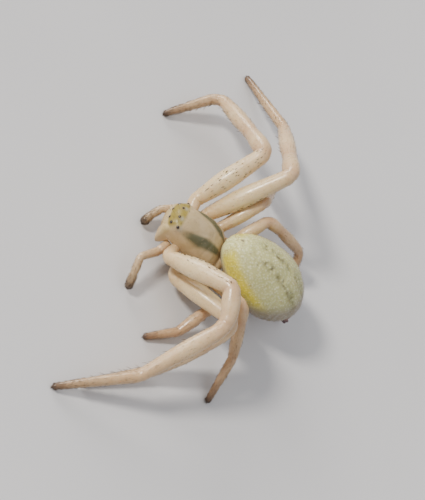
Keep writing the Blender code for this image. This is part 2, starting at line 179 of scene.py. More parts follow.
def squared_off(wave, power):
    """The size of a cosine or sine to a power, with its sign kept. A power under 1 turns
    the oval that the two draw into a rounded box."""
    return np.sign(wave) * np.abs(wave) ** power


def fade(value, low, high):
    """0 below low, 1 above high, and 3 t^2 - 2 t^3 between them."""
    t = np.clip((value - low) / (high - low), 0.0, 1.0)
    return t * t * (3 - 2 * t)


def near(points, centre, radius):
    """A soft spot: e to the power of minus the squared distance over the squared radius."""
    return np.exp(-((points - np.asarray(centre)) ** 2).sum(-1) / radius**2)


def unit(vectors):
    """Vectors of length one."""
    return vectors / np.linalg.norm(vectors, axis=-1, keepdims=True)


print("halfway from 1 to 3:", smooth_values((0, 1), (1, 3), np.array([0.5])))

# %% [markdown]
# A crab spider's leg is one chain of stiff tubes: hip, thigh, knee cap, shin and foot. Its
# line runs straight from joint to joint and turns each corner on an arc. The plan gives
# the joints of all eight legs, as the animal stands: the front two pairs are long, strong
# and arched like a crab's, the rear two short and thin. The left front leg reaches far out
# to the front, and the right ones are half folded.

# %% Where the legs stand
ROOTS = {1: (0.9, -0.7, 1.3), 2: (1.05, -0.14, 1.25), 3: (1.05, 0.42, 1.28), 4: (0.85, 1.05, 1.28)}
LITTLE_BOW = (0.0, 0.0, 0.12)
LITTLE_SAG = (0.0, 0.0, 0.1)
STANCE = {
    ("left", 1): ((1.9, -1.0, 1.6), (3.09, 1.62, 4.4), (8.54, 0.08, 1.75), (10.7, -3.07)),
    ("left", 2): ((2.15, -0.02, 0.83), (3.68, 3.1, 3.0), (7.25, 0.99, 0.42), (9.7, -1.82)),
    ("left", 3): ((1.7, 0.64, 1.25), (2.5, 2.4, 1.42), (4.4, 1.57, 0.42), (5.6, 0.1)),
    ("left", 4): ((1.42, 1.35, 1.4), (2.33, 3.34, 2.6), (4.44, 4.46, 1.29), (6.6, 4.6)),
    ("right", 1): ((-2.0, -0.85, 1.47), (-5.1, 0.63, 4.16), (-8.77, -1.83, 1.2), (-6.4, -3.9)),
    ("right", 2): ((-1.8, 0.1, 1.3), (-4.47, 2.16, 4.73), (-9.1, 1.9, 2.0), (-12.0, -0.5)),
    ("right", 3): ((-1.52, 0.98, 1.28), (-3.22, 2.04, 3.1), (-5.4, 2.75, 1.7), (-6.4, 3.1)),
    ("right", 4): ((-1.2, 1.95, 1.2), (-2.91, 2.86, 2.6), (-3.3, 5.7, 1.6), (-2.2, 6.4)),
}
BOWS = {("left", 3): (0.0, 0.0, -0.06)}
SAGS = {("left", 1): (-0.15, 1.28, 0.5), ("left", 2): (0.2, 0.15, -0.12)}
GIRTHS = {("left", 2): 0.92}
TOE_HEIGHT = 0.11
KNEE_CAP_SHARE = 0.34
HIP_END = 0.32
LEG_BENDS = (0.42, 4.0, 0.45, 1.5, 0.7)
ARC_POINTS = 13


def rounded_path(points, radii):
    """Straight runs whose corners are arcs of the given radii: each arc starts radius times
    the tangent of half the turn before its corner. Gives the fine line, the distance along
    it, and how far along the middle of each arc lies."""
    points = np.asarray(points, dtype=float)
    line = [points[:1]]
    for before, corner, after, radius in zip(points, points[1:], points[2:], radii):
        into = unit(corner - before)
        out = unit(after - corner)
        turn = math.acos(np.clip(into @ out, -1, 1))
        start = corner - into * radius * math.tan(turn / 2)
        inward = unit(out - into * (out @ into))
        angles = np.linspace(0, turn, ARC_POINTS)[:, None]
        line.append(start + inward * radius * (1 - np.cos(angles)) + into * radius * np.sin(angles))
    line.append(points[-1:])
    fine = np.concatenate(line)
    run = np.concatenate([[0], np.cumsum(np.linalg.norm(np.diff(fine, axis=0), axis=1))])
    return fine, run, [run[1 + ARC_POINTS // 2 + ARC_POINTS * k] for k in range(len(points) - 2)]


print("legs planned:", len(STANCE))

# %% [markdown]
# A tube needs a thickness at each place and a frame to lay its rings in: along the leg,
# upwards across it, and sideways. A leg bends in nearly one plane, so the plane's own
# normal is the sideways direction everywhere, and the rings never twist. The thickness is
# one smooth curve along the leg, with a soft collar and a narrow neck at each joint, where
# the real leg has a fold of thin skin between two hard tubes.

# %% Tubes along a line
LOOK_AHEAD = 0.05
NECK_HALF = 0.09
COLLAR_PLACE = 0.17
COLLAR_HALF = 0.08


def tube_frame(fine, run, stations):
    """Centres and three unit directions at the stations: along the line, up across it, and
    sideways, which is the line's flattest direction made square to the line."""
    centres = mixed_along(run, fine, stations)
    ahead = mixed_along(run, fine, np.minimum(stations + LOOK_AHEAD, run[-1]))
    behind = mixed_along(run, fine, np.maximum(stations - LOOK_AHEAD, 0))
    along = unit(ahead - behind)
    flattest = np.linalg.svd(fine - fine.mean(0))[2][2]
    side = unit(flattest - along * (along @ flattest)[:, None])
    up = np.cross(along, side)
    if up[:, 2].mean() < 0:
        side, up = -side, -up
    return dict(stations=stations, centres=centres, along=along, up=up, side=side)


def joint_relief(stations, joints, depths):
    """A factor on the radius: 1, less a neck of its own depth at each joint, 0.09 mm wide,
    plus a third of it as a collar 0.17 mm to each side."""
    factor = np.ones_like(stations)
    for joint, depth in zip(joints, depths):
        away = stations - joint
        factor -= depth * np.exp(-((away / NECK_HALF) ** 2))
        factor += depth / 3 * np.exp(-(((np.abs(away) - COLLAR_PLACE) / COLLAR_HALF) ** 2))
    return factor


def tube_stations(length, end_radius, spacing):
    """Even places along a tube, then closer ones that follow the round of its tip."""
    straight = np.linspace(0, length - end_radius, int(length / spacing))
    tip = length - end_radius * (1 - np.sin(np.linspace(0.25, 1.45, 6)))
    return np.concatenate([straight, tip])


def round_tip(stations, radii, length, end_radius):
    """Closes the tip as a ball: radius times the root of one minus the squared share."""
    share = np.clip((stations - length + end_radius) / end_radius, 0, 1)
    return radii * np.sqrt(1 - share**2)


print("rows of a tube 2 mm long:", len(tube_stations(2.0, 0.15, 0.08)))

# %% [markdown]
# With its frame and thickness, a tube becomes a grid of rings. A Blender curve with a bevel
# could do the same, but then the rings' places wouldn't be known, and hairs and colours
# need them later. Each limb keeps its line, its joints, its radii and its grid together.

# %% Tubes become grids and limbs
def tube_grid(tube, radii, sides, flat=0.97):
    """Rings round the centres: up times the cosine plus side times the sine of the angle,
    times the radius, a little narrower from side to side. Nothing goes under the floor."""
    turn = round_angles(sides)[None, :, None]
    ring = tube["up"][:, None] * np.cos(turn) + tube["side"][:, None] * np.sin(turn) * flat
    grid = tube["centres"][:, None] + ring * radii[:, None, None]
    grid[..., 2] = np.maximum(grid[..., 2], 0.0)
    return grid


def limb(fine, run, joints, places, radii, folds, depths, spacing, sides=22):
    """A leg or palp as a tube along its line: smooth radii between the places, a fold of
    skin of its own depth at each joint, and a round tip."""
    stations = tube_stations(run[-1], radii[-1], spacing)
    tube = tube_frame(fine, run, stations)
    thick = smooth_values(places, radii, stations) * joint_relief(stations, folds, depths)
    tube["radii"] = round_tip(stations, thick, run[-1], radii[-1])
    tube["joints"] = joints
    tube["grid"] = tube_grid(tube, tube["radii"], sides)
    tube["ends"] = [tube["centres"][0], fine[-1]]
    return tube


# %% [markdown]
# Now the thicknesses: three for each tube of a leg, at its start, at two fifths of its
# length and at its end. The long legs are strongest in the middle of the thigh.

# %% The eight legs
LONG_LEG = (
    (0.25, 0.32, 0.37), (0.42, 0.53, 0.42), (0.42, 0.47, 0.4), (0.38, 0.43, 0.31), (0.3, 0.26, 0.15),
)
SHORT_LEG = (
    (0.27, 0.34, 0.32), (0.3, 0.36, 0.3), (0.3, 0.33, 0.28), (0.28, 0.31, 0.25), (0.24, 0.22, 0.14),
)
FOOT_JOINT_SHARE = 0.6
FOLD_DEPTHS = (0.02, 0.025, 0.05, 0.05, 0.06, 0.06)


def leg_plan(side, number):
    """A leg's line, joints and radii: root, hip, arch of the thigh, knee, shin, ankle, toe,
    with the radii of its five tubes joined into one curve through all of them."""
    mirror = 1 if side == "left" else -1
    root = np.array(ROOTS[number]) * (mirror, 1, 1)
    hip, knee, ankle, toe = [np.array(spot) for spot in STANCE[side, number]]
    arch = (hip + knee) / 2 + BOWS.get((side, number), LITTLE_BOW)
    shin = knee + (ankle - knee) * KNEE_CAP_SHARE + SAGS.get((side, number), LITTLE_SAG)
    points = [root, hip, arch, knee, shin, ankle, (*toe, TOE_HEIGHT)]
    fine, run, corners = rounded_path(points, LEG_BENDS)
    joints = [0.0, corners[0] + HIP_END, *corners[2:], run[-1]]
    sizes = np.array(LONG_LEG if number < 3 else SHORT_LEG)
    sizes[1] *= GIRTHS.get((side, number), 1.0)
    places = [joints[0]]
    radii = [sizes[0, 0]]
    for k in range(5):
        places += [joints[k] * 0.6 + joints[k + 1] * 0.4, joints[k + 1]]
        following = sizes[k + 1, 0] if k < 4 else sizes[k, 2]
        radii += [sizes[k, 1], (sizes[k, 2] + following) / 2]
    foot_joint = joints[4] + (joints[5] - joints[4]) * FOOT_JOINT_SHARE
    folds = [joints[1] - 0.3, *joints[1:5], foot_joint]
    sides = 26 if number < 3 else 22
    leg = limb(fine, run, joints, places, radii, folds, FOLD_DEPTHS, 0.08, sides)
    leg["foot_joint"] = foot_joint
    return leg


LEGS = {key: leg_plan(*key) for key in STANCE}

# %% [markdown]
# The palps are the two short feelers beside the jaws, made as the legs are, from fewer
# bends. The left one reaches forward and down, the right one curls in front of the face.

# %% The two palps
PALP_POINTS = {
    "left": (
        (0.8, -1.05, 1.0), (1.45, -1.3, 0.87), (2.5, -2.13, 1.12), (3.25, -1.96, 0.75), (3.9, -1.75, 0.28),
    ),
    "right": (
        (-0.8, -1.05, 1.0), (-1.2, -1.45, 1.0), (-0.86, -2.04, 0.77), (-0.4, -2.3, 0.5), (0.2, -2.5, 0.27),
    ),
}
PALP_RADII = (0.22, 0.23, 0.2, 0.2, 0.21, 0.17)
PALP_FOLD_DEPTHS = (0.08, 0.08, 0.08)
PALP_BEND = 0.26


def palp_plan(side):
    """A palp's line, joints and radii, as for a leg, with one more place in its last part."""
    fine, run, corners = rounded_path(PALP_POINTS[side], [PALP_BEND] * 3)
    joints = [0.0, *corners, run[-1]]
    places = [*joints[:4], (joints[3] + joints[4]) / 2, joints[4]]
    return limb(fine, run, joints, places, PALP_RADII, joints[1:4], PALP_FOLD_DEPTHS, 0.06)


PALPS = {side: palp_plan(side) for side in PALP_POINTS}
TUBES = [*LEGS.values(), *PALPS.values()]

# %% [markdown]
# The shield over head and chest and the egg of the abdomen are lofts: ovals strung along an
# axis, each with its own width, height and depth, closed at both ends by a superellipse. The
# same formula gives a point of the surface for any share of the length and any angle, so it
# serves the grid, the hairs and the painting.

# %% Rounded bodies along an axis
SHIELD = dict(
    front=(0.0, -2.0, 1.75), length=3.5, pitch=0.0, stations=(0.0, 0.12, 0.3, 0.55, 0.8, 1.0),
    half_widths=(0.93, 0.97, 1.06, 1.22, 1.28, 0.98), heights=(1.02, 1.08, 1.17, 1.12, 0.83, 0.36),
    depths=(0.42, 0.42, 0.42, 0.45, 0.48, 0.4), end_power=4.5, section_power=2.15, under_power=4.0,
)
ABDOMEN = dict(
    front=(0.0, 1.1, 2.98), length=5.55, pitch=14.0, stations=(0.0, 0.15, 0.4, 0.62, 0.85, 1.0),
    half_widths=(1.35, 1.5, 1.74, 1.88, 1.75, 1.5), heights=(1.4, 1.5, 1.65, 1.7, 1.55, 1.35),
    depths=(1.25, 1.35, 1.5, 1.6, 1.55, 1.4), end_power=2.4, section_power=2.0,
    under_power=2.0,
)


def body_axes(body):
    """The body's front point and its directions along and up, tipped down by its pitch."""
    pitch = math.radians(body["pitch"])
    along = np.array((0.0, math.cos(pitch), -math.sin(pitch)))
    up = np.array((0.0, math.sin(pitch), math.cos(pitch)))
    return np.array(body["front"]), along, up


def body_point(body, share, turn):
    """A point of the surface: the axis point at the share of the length, plus the width and
    height there times powers of the cosine and sine of the angle, all times the closing
    factor (1 - |2 share - 1|^p)^(1/p). The underside has its own depth and its own power."""
    front, along, up = body_axes(body)
    power = body["end_power"]
    close = (1 - np.abs(2 * share - 1) ** power).clip(0) ** (1 / power)
    wide, tall, deep = [
        smooth_values(body["stations"], body[key], share) * close
        for key in ("half_widths", "heights", "depths")
    ]
    curve = 2 / np.where(np.sin(turn) > 0, body["section_power"], body["under_power"])
    rise = squared_off(np.sin(turn), curve)
    sideways = np.stack([squared_off(np.cos(turn), curve) * wide, 0 * turn, 0 * turn], -1)
    upwards = up * (rise * np.where(rise > 0, tall, deep))[..., None]
    return front + along * (share * body["length"])[..., None] + sideways + upwards


def body_normal(body, share, turn):
    """The outward direction, from the cross product of two small steps on the surface."""
    step = 0.004
    ahead = body_point(body, share + step, turn) - body_point(body, share - step, turn)
    round_it = body_point(body, share, turn + step) - body_point(body, share, turn - step)
    return unit(np.cross(ahead, round_it))


def body_grid(rows, sides):
    """Shares that crowd towards both ends, by angles that go evenly round."""
    return np.meshgrid(crowded(rows), round_angles(sides), indexing="ij")


def body_ends(body):
    """The two points that close a body, at the ends of its axis."""
    return body_point(body, np.array([0.0, 1.0]), np.array([0.0, 0.0]))


print("lengths of shield and abdomen in mm:", SHIELD["length"], ABDOMEN["length"])

# %% [markdown]
# The shield is smooth but not plain. Each eye sits on a swelling of its own, highest under
# the two outer eyes of the rear row, with a low rim round the eye. Behind the head two
# shallow grooves run to a dent in the middle of the back, and faint ones fan out to the
# legs, where muscles are fixed inside. The eyes' places pull the surface out to them, up to
# 0.3 of the eye's radius past its middle, so every eye is sunk to a little more than half.

# %% The shape of the shield
EYES = {
    "eye_front_middle": ((0.255, -1.97, 2.168), 0.078, 0.13),
    "eye_front_side": ((0.58, -1.85, 2.325), 0.08, 0.2),
    "eye_rear_middle": ((0.28, -1.7, 2.67), 0.065, 0.13),
    "eye_rear_side": ((0.765, -1.505, 2.535), 0.075, 0.28),
}
BODY_ROWS = 130
EYE_HOLD = 0.3
RIM_HEIGHT = 0.014
EDGE_HEIGHT = 0.04
MIDDLE_DENT = 0.04
GROOVES = (
    ((0.8, -0.95), (0.12, 0.35), 0.035), ((1.1, -0.25), (0.2, 0.42), 0.02),
    ((1.15, 0.35), (0.25, 0.5), 0.02), ((0.85, 1.05), (0.15, 0.6), 0.02),
)


def line_distance(points, start, end):
    """Distance, seen from above, from points to the straight line between two places."""
    start = np.array(start)
    run = np.array(end) - start
    share = np.clip(((points[..., :2] - start) @ run) / (run @ run), 0, 1)
    return np.linalg.norm(points[..., :2] - start - share[..., None] * run, axis=-1)


def shield_shape():
    """The shield's grid: the loft, pulled out to each eye and fading within its swelling's
    radius, less 0.02 to 0.035 mm along the grooves, a small rim round each eye, and a thin
    raised edge along the lower corner of both sides."""
    share, turn = body_grid(BODY_ROWS, 150)
    points = body_point(SHIELD, share, turn)
    outward = body_normal(SHIELD, share, turn)
    mirrored = points.copy()
    mirrored[..., 0] = np.abs(mirrored[..., 0])
    edge = np.exp(-(((np.sin(turn) + 0.62) / 0.12) ** 2)) * fade(mirrored[..., 0], 0.55, 0.8)
    points = points + outward * (EDGE_HEIGHT * edge)[..., None]
    on_top = fade(points[..., 2], 2.0, 2.25)
    for start, end, depth in GROOVES:
        dent = depth * np.exp(-((line_distance(mirrored, start, end) / 0.1) ** 2))
        points = points - outward * (dent * on_top)[..., None]
    middle = MIDDLE_DENT * np.exp(-((points[..., 0] / 0.07) ** 2) - ((points[..., 1] - 0.5) / 0.3) ** 2)
    points = points - outward * (middle * on_top)[..., None]
    for centre, radius, reach in EYES.values():
        for mirror in (1, -1):
            eye = np.array(centre) * (mirror, 1, 1)
            apart = np.linalg.norm(points - eye, axis=-1)
            nearest = np.unravel_index(apart.argmin(), apart.shape)
            pull = eye + outward[nearest] * radius * EYE_HOLD - points[nearest]
            points = points + pull * near(points, points[nearest], reach)[..., None]
            apart = np.linalg.norm(points - eye, axis=-1)
            rim = RIM_HEIGHT * np.exp(-(((apart - radius * 1.2) / 0.03) ** 2))
            points = points + outward * rim[..., None]
    return points, body_ends(SHIELD)


print("swellings for eyes:", 2 * len(EYES), "grooves:", 2 * len(GROOVES))

# %% [markdown]
# The abdomen is a soft bag with a firm skin. Small round dents on its back mark where
# muscles hold the skin from inside; the dents and the markings keep to a middle line that
# leans a little to the left, as the animal turns its abdomen. Towards the rear the flanks
# gather into low folds that run round to the spinnerets.

# %% The shape of the abdomen
DENT_DEPTH = 0.05
FLANK_FOLD_HEIGHT = 0.025
UNEVEN_HEIGHT = 0.012
MIDDLE_LEAN = 0.72
MIDDLE_START = 0.2
MUSCLE_DENTS = (
    (0.05, 0.0, 0.11), (0.24, 0.72, 0.06), (0.37, 0.38, 0.09), (0.53, 0.38, 0.08), (0.67, 0.36, 0.06),
)


def abdomen_place(points):
    """For points of the abdomen: share of its length, distance from its leaning middle line
    sideways, and height over its axis, all in its own tipped directions."""
    front, along, up = body_axes(ABDOMEN)
    away = points - front
    share = away @ along / ABDOMEN["length"]
    return share, away[..., 0] - (MIDDLE_LEAN * share - MIDDLE_START), away @ up


def dent_distance(points, place, offset):
    """Distance of points from the two mirrored dents at a share and offset of the back."""
    share, sideways, _ = abdomen_place(points)
    return np.hypot((share - place) * ABDOMEN["length"], np.abs(sideways) - offset)


def abdomen_shape():
    """The abdomen's grid: the loft, less a dent at each muscle, plus folds that run round
    the flanks at the rear, from the sine of the share, and a slight unevenness."""
    share, turn = body_grid(BODY_ROWS, 168)
    points = body_point(ABDOMEN, share, turn)
    outward = body_normal(ABDOMEN, share, turn)
    height = abdomen_place(points)[2]
    relief = np.zeros_like(share)
    for place, offset, radius in MUSCLE_DENTS:
        apart = dent_distance(points, place, offset) / radius
        relief -= DENT_DEPTH * np.exp(-(apart**2)) * fade(height, 0.2, 0.5)
    bend = share + 0.05 * np.sin(turn * 2)
    flank = fade(share, 0.62, 0.78) * fade(-np.sin(turn), -0.75, 0.1) * fade(1 - share, 0.02, 0.1)
    relief += FLANK_FOLD_HEIGHT * np.sin(bend * 105) * flank
    relief += UNEVEN_HEIGHT * np.sin(turn * 9 + share * 6) * np.sin(share * 23 + turn)
    return points + outward * relief[..., None], body_ends(ABDOMEN)


print("muscle dents:", sum(2 if offset else 1 for _, offset, _ in MUSCLE_DENTS))

# %% [markdown]
# The finishes of the skin come before the pieces, because each piece carries one. The
# living skin is waxy and lets a little light in, so they scatter light under the surface.
# An image could colour them, but at this size noise at the scale of the real grain stays
# sharp at any distance. Most read their large colours from an attribute called tint, which
# is painted on the points later, and add the fine detail from noise.

# %% New materials and nodes
SCATTER_REACH = (1.0, 0.75, 0.45)
COAT_ROUGHNESS = 0.2


def new_finish(name, roughness, scatter=0.0, coat=0.0, depth=0.0002):
    """A material with the Principled shader, whose constant values sit on its own sockets."""
    made = bpy.data.materials.new(name)
    made.use_nodes = True
    settings = {
        "Roughness": roughness, "Subsurface Weight": scatter, "Subsurface Radius": SCATTER_REACH,
        "Subsurface Scale": depth, "Coat Weight": coat, "Coat Roughness": COAT_ROUGHNESS,
    }
    for socket, value in settings.items():
        connect(made, value, socket)
    return made


def feed(socket, value):
    """Links an output to an input socket, or sets the input to a plain value."""
    if isinstance(value, bpy.types.NodeSocket):
        socket.id_data.links.new(value, socket)
    else:
        socket.default_value = value


def connect(material, value, name):
    """Feeds an input of the Principled shader."""
    feed(material.node_tree.nodes["Principled BSDF"].inputs[name], value)


def add_node(tree, kind, **values):
    """A node with its inputs fed by name."""
    node = tree.nodes.new(kind)
    for name, value in values.items():
        feed(node.inputs[name], value)
    return node


def tell(material):
    """Prints a finish's name and how many nodes it is made of."""
    print(material.name, "has", len(material.node_tree.nodes), "nodes")


def object_place(tree):
    """The place in the object's own coordinates, in metres."""
    return add_node(tree, "ShaderNodeTexCoord").outputs["Object"]


# %% [markdown]
# Patterns: noise for soft lumps, cells for grains, and the colours painted on the points.
# Each gives a value or colour that the next node can use. A node's output knows its own
# material, so the steps after the first needn't be told which one they belong to.

# %% Patterns
def noise(material, scale, detail):
    """Noise on Object coordinates; a scale of 1000 has lumps about a millimetre across."""
    tree = material.node_tree
    node = add_node(tree, "ShaderNodeTexNoise", Vector=object_place(tree), Scale=scale, Detail=detail)
    return node.outputs["Fac"]


def cells(material, scale, smoothness):
    """Distance to the nearest of many scattered points, for pebbles and granules."""
    tree = material.node_tree
    node = add_node(tree, "ShaderNodeTexVoronoi", Vector=object_place(tree), Scale=scale)
    node.feature = "SMOOTH_F1"
    feed(node.inputs["Smoothness"], smoothness)
    return node.outputs["Distance"]


def painted(material, name):
    """The colour attribute of that name, painted on the points of the piece."""
    node = add_node(material.node_tree, "ShaderNodeAttribute")
    node.attribute_name = name
    return node.outputs["Color"]


# %% [markdown]
# The later nodes stretch a value to a useful range, mix two colours, or add and multiply.
# Small functions for them make a finish read like a formula, from the inside out.

# %% Stretching, mixing and arithmetic
def spread(value, low, high, to_low=0.0, to_high=1.0):
    """Stretches a value from one range to another and holds it there."""
    ends = {"From Min": low, "From Max": high, "To Min": to_low, "To Max": to_high}
    node = add_node(value.id_data, "ShaderNodeMapRange", Value=value, **ends)
    node.interpolation_type = "SMOOTHSTEP"
    return node.outputs["Result"]


def mix(kind, share, first, second):
    """Mixes two colours by a share; each colour may be a socket or a plain one."""
    node = add_node(share.id_data, "ShaderNodeMix")
    node.data_type = "RGBA"
    node.blend_type = kind
    for index, value in ((0, share), (6, first), (7, second)):
        feed(node.inputs[index], value)
    return node.outputs[2]


def sums(operation, first, second):
    """One step of arithmetic on two values, of which at least one comes from a node."""
    source = first if isinstance(first, bpy.types.NodeSocket) else second
    node = add_node(source.id_data, "ShaderNodeMath")
    node.operation = operation
    feed(node.inputs[0], first)
    feed(node.inputs[1], second)
    return node.outputs["Value"]


def times(first, second):
    """The product of two values."""
    return sums("MULTIPLY", first, second)


# %% [markdown]
# Nearly every finish ends in the same steps: a base colour that wavers between two tones, a
# gloss that isn't even, and a bump map. A bump only tilts the light, which is enough for
# grain much finer than the mesh, while every fold that shows in outline is real geometry.

# %% Steps that most finishes share
def two_tone(material, lumps, first, second):
    """Base colour between two colours, where noise goes from one limit to another. The
    lumps are the noise's scale and detail and the two limits."""
    share = spread(noise(material, *lumps[:2]), *lumps[2:])
    connect(material, mix("MIX", share, first, second), "Base Color")


def uneven_gloss(material, scale, detail, smooth, rough):
    """Roughness between two values, by noise between 0.3 and 0.7."""
    connect(material, spread(noise(material, scale, detail), 0.3, 0.7, smooth, rough), "Roughness")


def bump(material, height, distance):
    """Tilts the surface by a height map; the distance is how high a value of one stands."""
    node = add_node(material.node_tree, "ShaderNodeBump", Height=height, Distance=distance)
    connect(material, node.outputs["Normal"], "Normal")


# %% [markdown]
# Legs: a smooth waxy cream. Close up, the skin has fine grain, faint mottling and a scatter
# of tiny brown dots where hairs stand. Gloss varies a little, so that the long highlight
# on a thigh breaks up as the real one does.

# %% Finish of the legs
LEG_SKIN = new_finish("waxy_leg_skin", 0.3, scatter=0.3, coat=0.45, depth=0.0004)
mottle = spread(noise(LEG_SKIN, 2300, 4), 0.35, 0.7)
mottled = mix("MULTIPLY", times(mottle, 0.4), painted(LEG_SKIN, "tint"), (0.86, 0.78, 0.68, 1))
dots = spread(cells(LEG_SKIN, 5200, 0.1), 0.1, 0.19, 1.0, 0.0)
connect(LEG_SKIN, mix("MULTIPLY", times(dots, 0.3), mottled, (0.5, 0.36, 0.25, 1)), "Base Color")
uneven_gloss(LEG_SKIN, 5200, 3, 0.25, 0.42)
grain = sums("ADD", noise(LEG_SKIN, 16000, 3), times(noise(LEG_SKIN, 3800, 2), 1.6))
bump(LEG_SKIN, sums("SUBTRACT", grain, times(dots, 0.5)), 0.000011)
tell(LEG_SKIN)

# %% [markdown]
# Shield, jaws and the plate below: thicker and drier, beige, with fine specks and the
# close net of shallow pits that hard skin has.

# %% Finish of the shield
SHIELD_SKIN = new_finish("smooth_shield_skin", 0.5, scatter=0.08, coat=0.06, depth=0.00012)
cloud = spread(noise(SHIELD_SKIN, 1900, 5), 0.35, 0.7)
clouded = mix("MULTIPLY", times(cloud, 0.6), painted(SHIELD_SKIN, "tint"), (0.8, 0.76, 0.62, 1))
specks = spread(cells(SHIELD_SKIN, 7800, 0.05), 0.1, 0.2, 1.0, 0.0)
chosen = spread(noise(SHIELD_SKIN, 3100, 2), 0.5, 0.6)
speck_share = times(times(specks, chosen), 0.75)
connect(SHIELD_SKIN, mix("MIX", speck_share, clouded, (0.16, 0.11, 0.06, 1)), "Base Color")
uneven_gloss(SHIELD_SKIN, 4200, 3, 0.42, 0.62)
bump(SHIELD_SKIN, sums("ADD", cells(SHIELD_SKIN, 15000, 0.6), noise(SHIELD_SKIN, 5200, 3)), 0.000006)
tell(SHIELD_SKIN)

# %% [markdown]
# Abdomen: the back is packed with white granules under a clear skin, which shows as fine
# pebbles, pale with darker lines between them. The granules are cells round scattered
# points, a tenth of a millimetre across; the same cells drive colour, gloss and bump, so
# that they agree. A second attribute, marks, says how strong the pebbles are, where the
# dotted brown bands lie, and how dark the dents are.

# %% Finish of the abdomen
ABDOMEN_SKIN = new_finish("pebbled_abdomen_skin", 0.45, scatter=0.15, coat=0.06)
parted = add_node(ABDOMEN_SKIN.node_tree, "ShaderNodeSeparateColor", Color=painted(ABDOMEN_SKIN, "marks"))
pebbly, banding, denting = [parted.outputs[name] for name in ("Red", "Green", "Blue")]
granule = cells(ABDOMEN_SKIN, 8200, 0.25)
net = times(spread(granule, 0.28, 0.62), pebbly)
netted = mix("MULTIPLY", net, painted(ABDOMEN_SKIN, "tint"), (0.84, 0.83, 0.68, 1))
clumps = spread(noise(ABDOMEN_SKIN, 2600, 3), 0.42, 0.62)
white = times(times(spread(granule, 0.1, 0.45, 0.45, 0.0), clumps), pebbly)
whitened = mix("MIX", white, netted, (0.86, 0.85, 0.62, 1))
patchy = times(spread(noise(ABDOMEN_SKIN, 1300, 4), 0.4, 0.66), 0.6)
patched = mix("MULTIPLY", patchy, whitened, (0.8, 0.82, 0.74, 1))
band = times(spread(noise(ABDOMEN_SKIN, 3600, 4), 0.38, 0.68), banding)
banded = mix("MIX", band, patched, (0.14, 0.12, 0.04, 1))
connect(ABDOMEN_SKIN, mix("MIX", denting, banded, (0.13, 0.1, 0.06, 1)), "Base Color")
connect(ABDOMEN_SKIN, spread(granule, 0.2, 0.6, 0.32, 0.52), "Roughness")
pebble = times(sums("SUBTRACT", 1.0, spread(granule, 0.05, 0.7)), sums("ADD", pebbly, 0.3))
bump(ABDOMEN_SKIN, sums("ADD", pebble, times(noise(ABDOMEN_SKIN, 2600, 3), 1.2)), 0.000008)
tell(ABDOMEN_SKIN)

# %% [markdown]
# Spinnerets: short dusky cones with a mealy, mauve-brown skin. Coarse bumps make it mealy.
# Its two dark tones are partly painted shade, the shade that falls under the tail.

# %% Finish of the spinnerets
DUSKY_SKIN = new_finish("dusky_spinneret_skin", 0.55, scatter=0.1)
# Dark mauve-brown tones, partly painted shade under the tail.
two_tone(DUSKY_SKIN, (4200, 4, 0.35, 0.65), (0.1, 0.05, 0.06, 1), (0.27, 0.17, 0.15, 1))
uneven_gloss(DUSKY_SKIN, 8200, 2, 0.45, 0.65)
bump(DUSKY_SKIN, noise(DUSKY_SKIN, 9000, 4), 0.00002)
tell(DUSKY_SKIN)

# %% [markdown]
# The two jaws make the lower half of the face. They are boxes rather than tubes: side by
# side they form one broad flat front with a fine groove in the middle, and from the side
# they are wedges, deep at the top and thin at the tip. A stack of level superellipses gives
# that shape. The power of 3.2 keeps their corners nearly square.

# %% The shape of a jaw
JAW_TOP = 2.15
JAW_TIP = 0.46
JAW_SHARES = (0.0, 0.24, 0.53, 0.8, 1.0)
JAW_CENTRES = (0.46, 0.47, 0.48, 0.48, 0.46)
JAW_HALF_WIDTHS = (0.4, 0.42, 0.43, 0.42, 0.37)
JAW_FRONTS = (-1.92, -1.965, -1.89, -1.8, -1.6)
JAW_BACKS = (-1.0, -1.05, -1.12, -1.3, -1.46)
JAW_POWER = 3.2
JAW_END_POWER = 8
JAW_FRONT_SHARE = 0.65


def jaw_shape(mirror, rows=44, sides=48):
    """Level rings from top to tip. A ring is its centre, plus half the width times a power
    of the cosine, plus the depth to the front or back times a power of the sine. All of it
    shrinks by (1 - |2 share - 1|^8)^(1/8), which rounds only the two ends."""
    share = crowded(rows)
    turn = round_angles(sides)[None, :]
    close = (1 - np.abs(2 * share - 1) ** JAW_END_POWER) ** (1 / JAW_END_POWER)
    centre, half, front, back = [
        smooth_values(JAW_SHARES, values, share)[:, None]
        for values in (JAW_CENTRES, JAW_HALF_WIDTHS, JAW_FRONTS, JAW_BACKS)
    ]
    across = squared_off(np.cos(turn), 2 / JAW_POWER)
    ahead = squared_off(np.sin(turn), 2 / JAW_POWER)
    middle = JAW_FRONT_SHARE * front + (1 - JAW_FRONT_SHARE) * back
    depth = np.where(ahead > 0, back - middle, middle - front)
    x = mirror * (centre + half * across * close[:, None])
    y = middle + depth * ahead * close[:, None]
    z = (JAW_TOP + (JAW_TIP - JAW_TOP) * share)[:, None] + 0 * turn
    first = (mirror * centre[0, 0], middle[0, 0], JAW_TOP)
    last = (mirror * centre[-1, 0], middle[-1, 0], JAW_TIP)
    return np.stack([x, y, z], -1), np.array([first, last])


print("jaws reach in mm from", JAW_TOP, "to", JAW_TIP)

# %% [markdown]
# The small parts under the head and at the tail are each a taper along a line or an oval
# ball. Blender has cones and spheres ready made, but these have the rows and the rounded
# tips of the other pieces, so that the same helpers close them and turn them outwards.

# %% Tapers and balls
def taper(name, line, radii, material, sides=20, rows=30):
    """A tube along a line of a few points, with radii given evenly along it, a flat start
    and a round tip."""
    fine, run, _ = rounded_path(line, [0.2] * (len(line) - 2))
    length = run[-1]
    stations = length * crowded(rows)
    tube = tube_frame(fine, run, stations)
    thick = smooth_values(np.linspace(0, length, len(radii)), radii, stations)
    thick = round_tip(stations, thick, length, radii[-1] * 1.1)
    return closed_piece(name, tube_grid(tube, thick, sides, 1.0), [fine[0], fine[-1]], material)


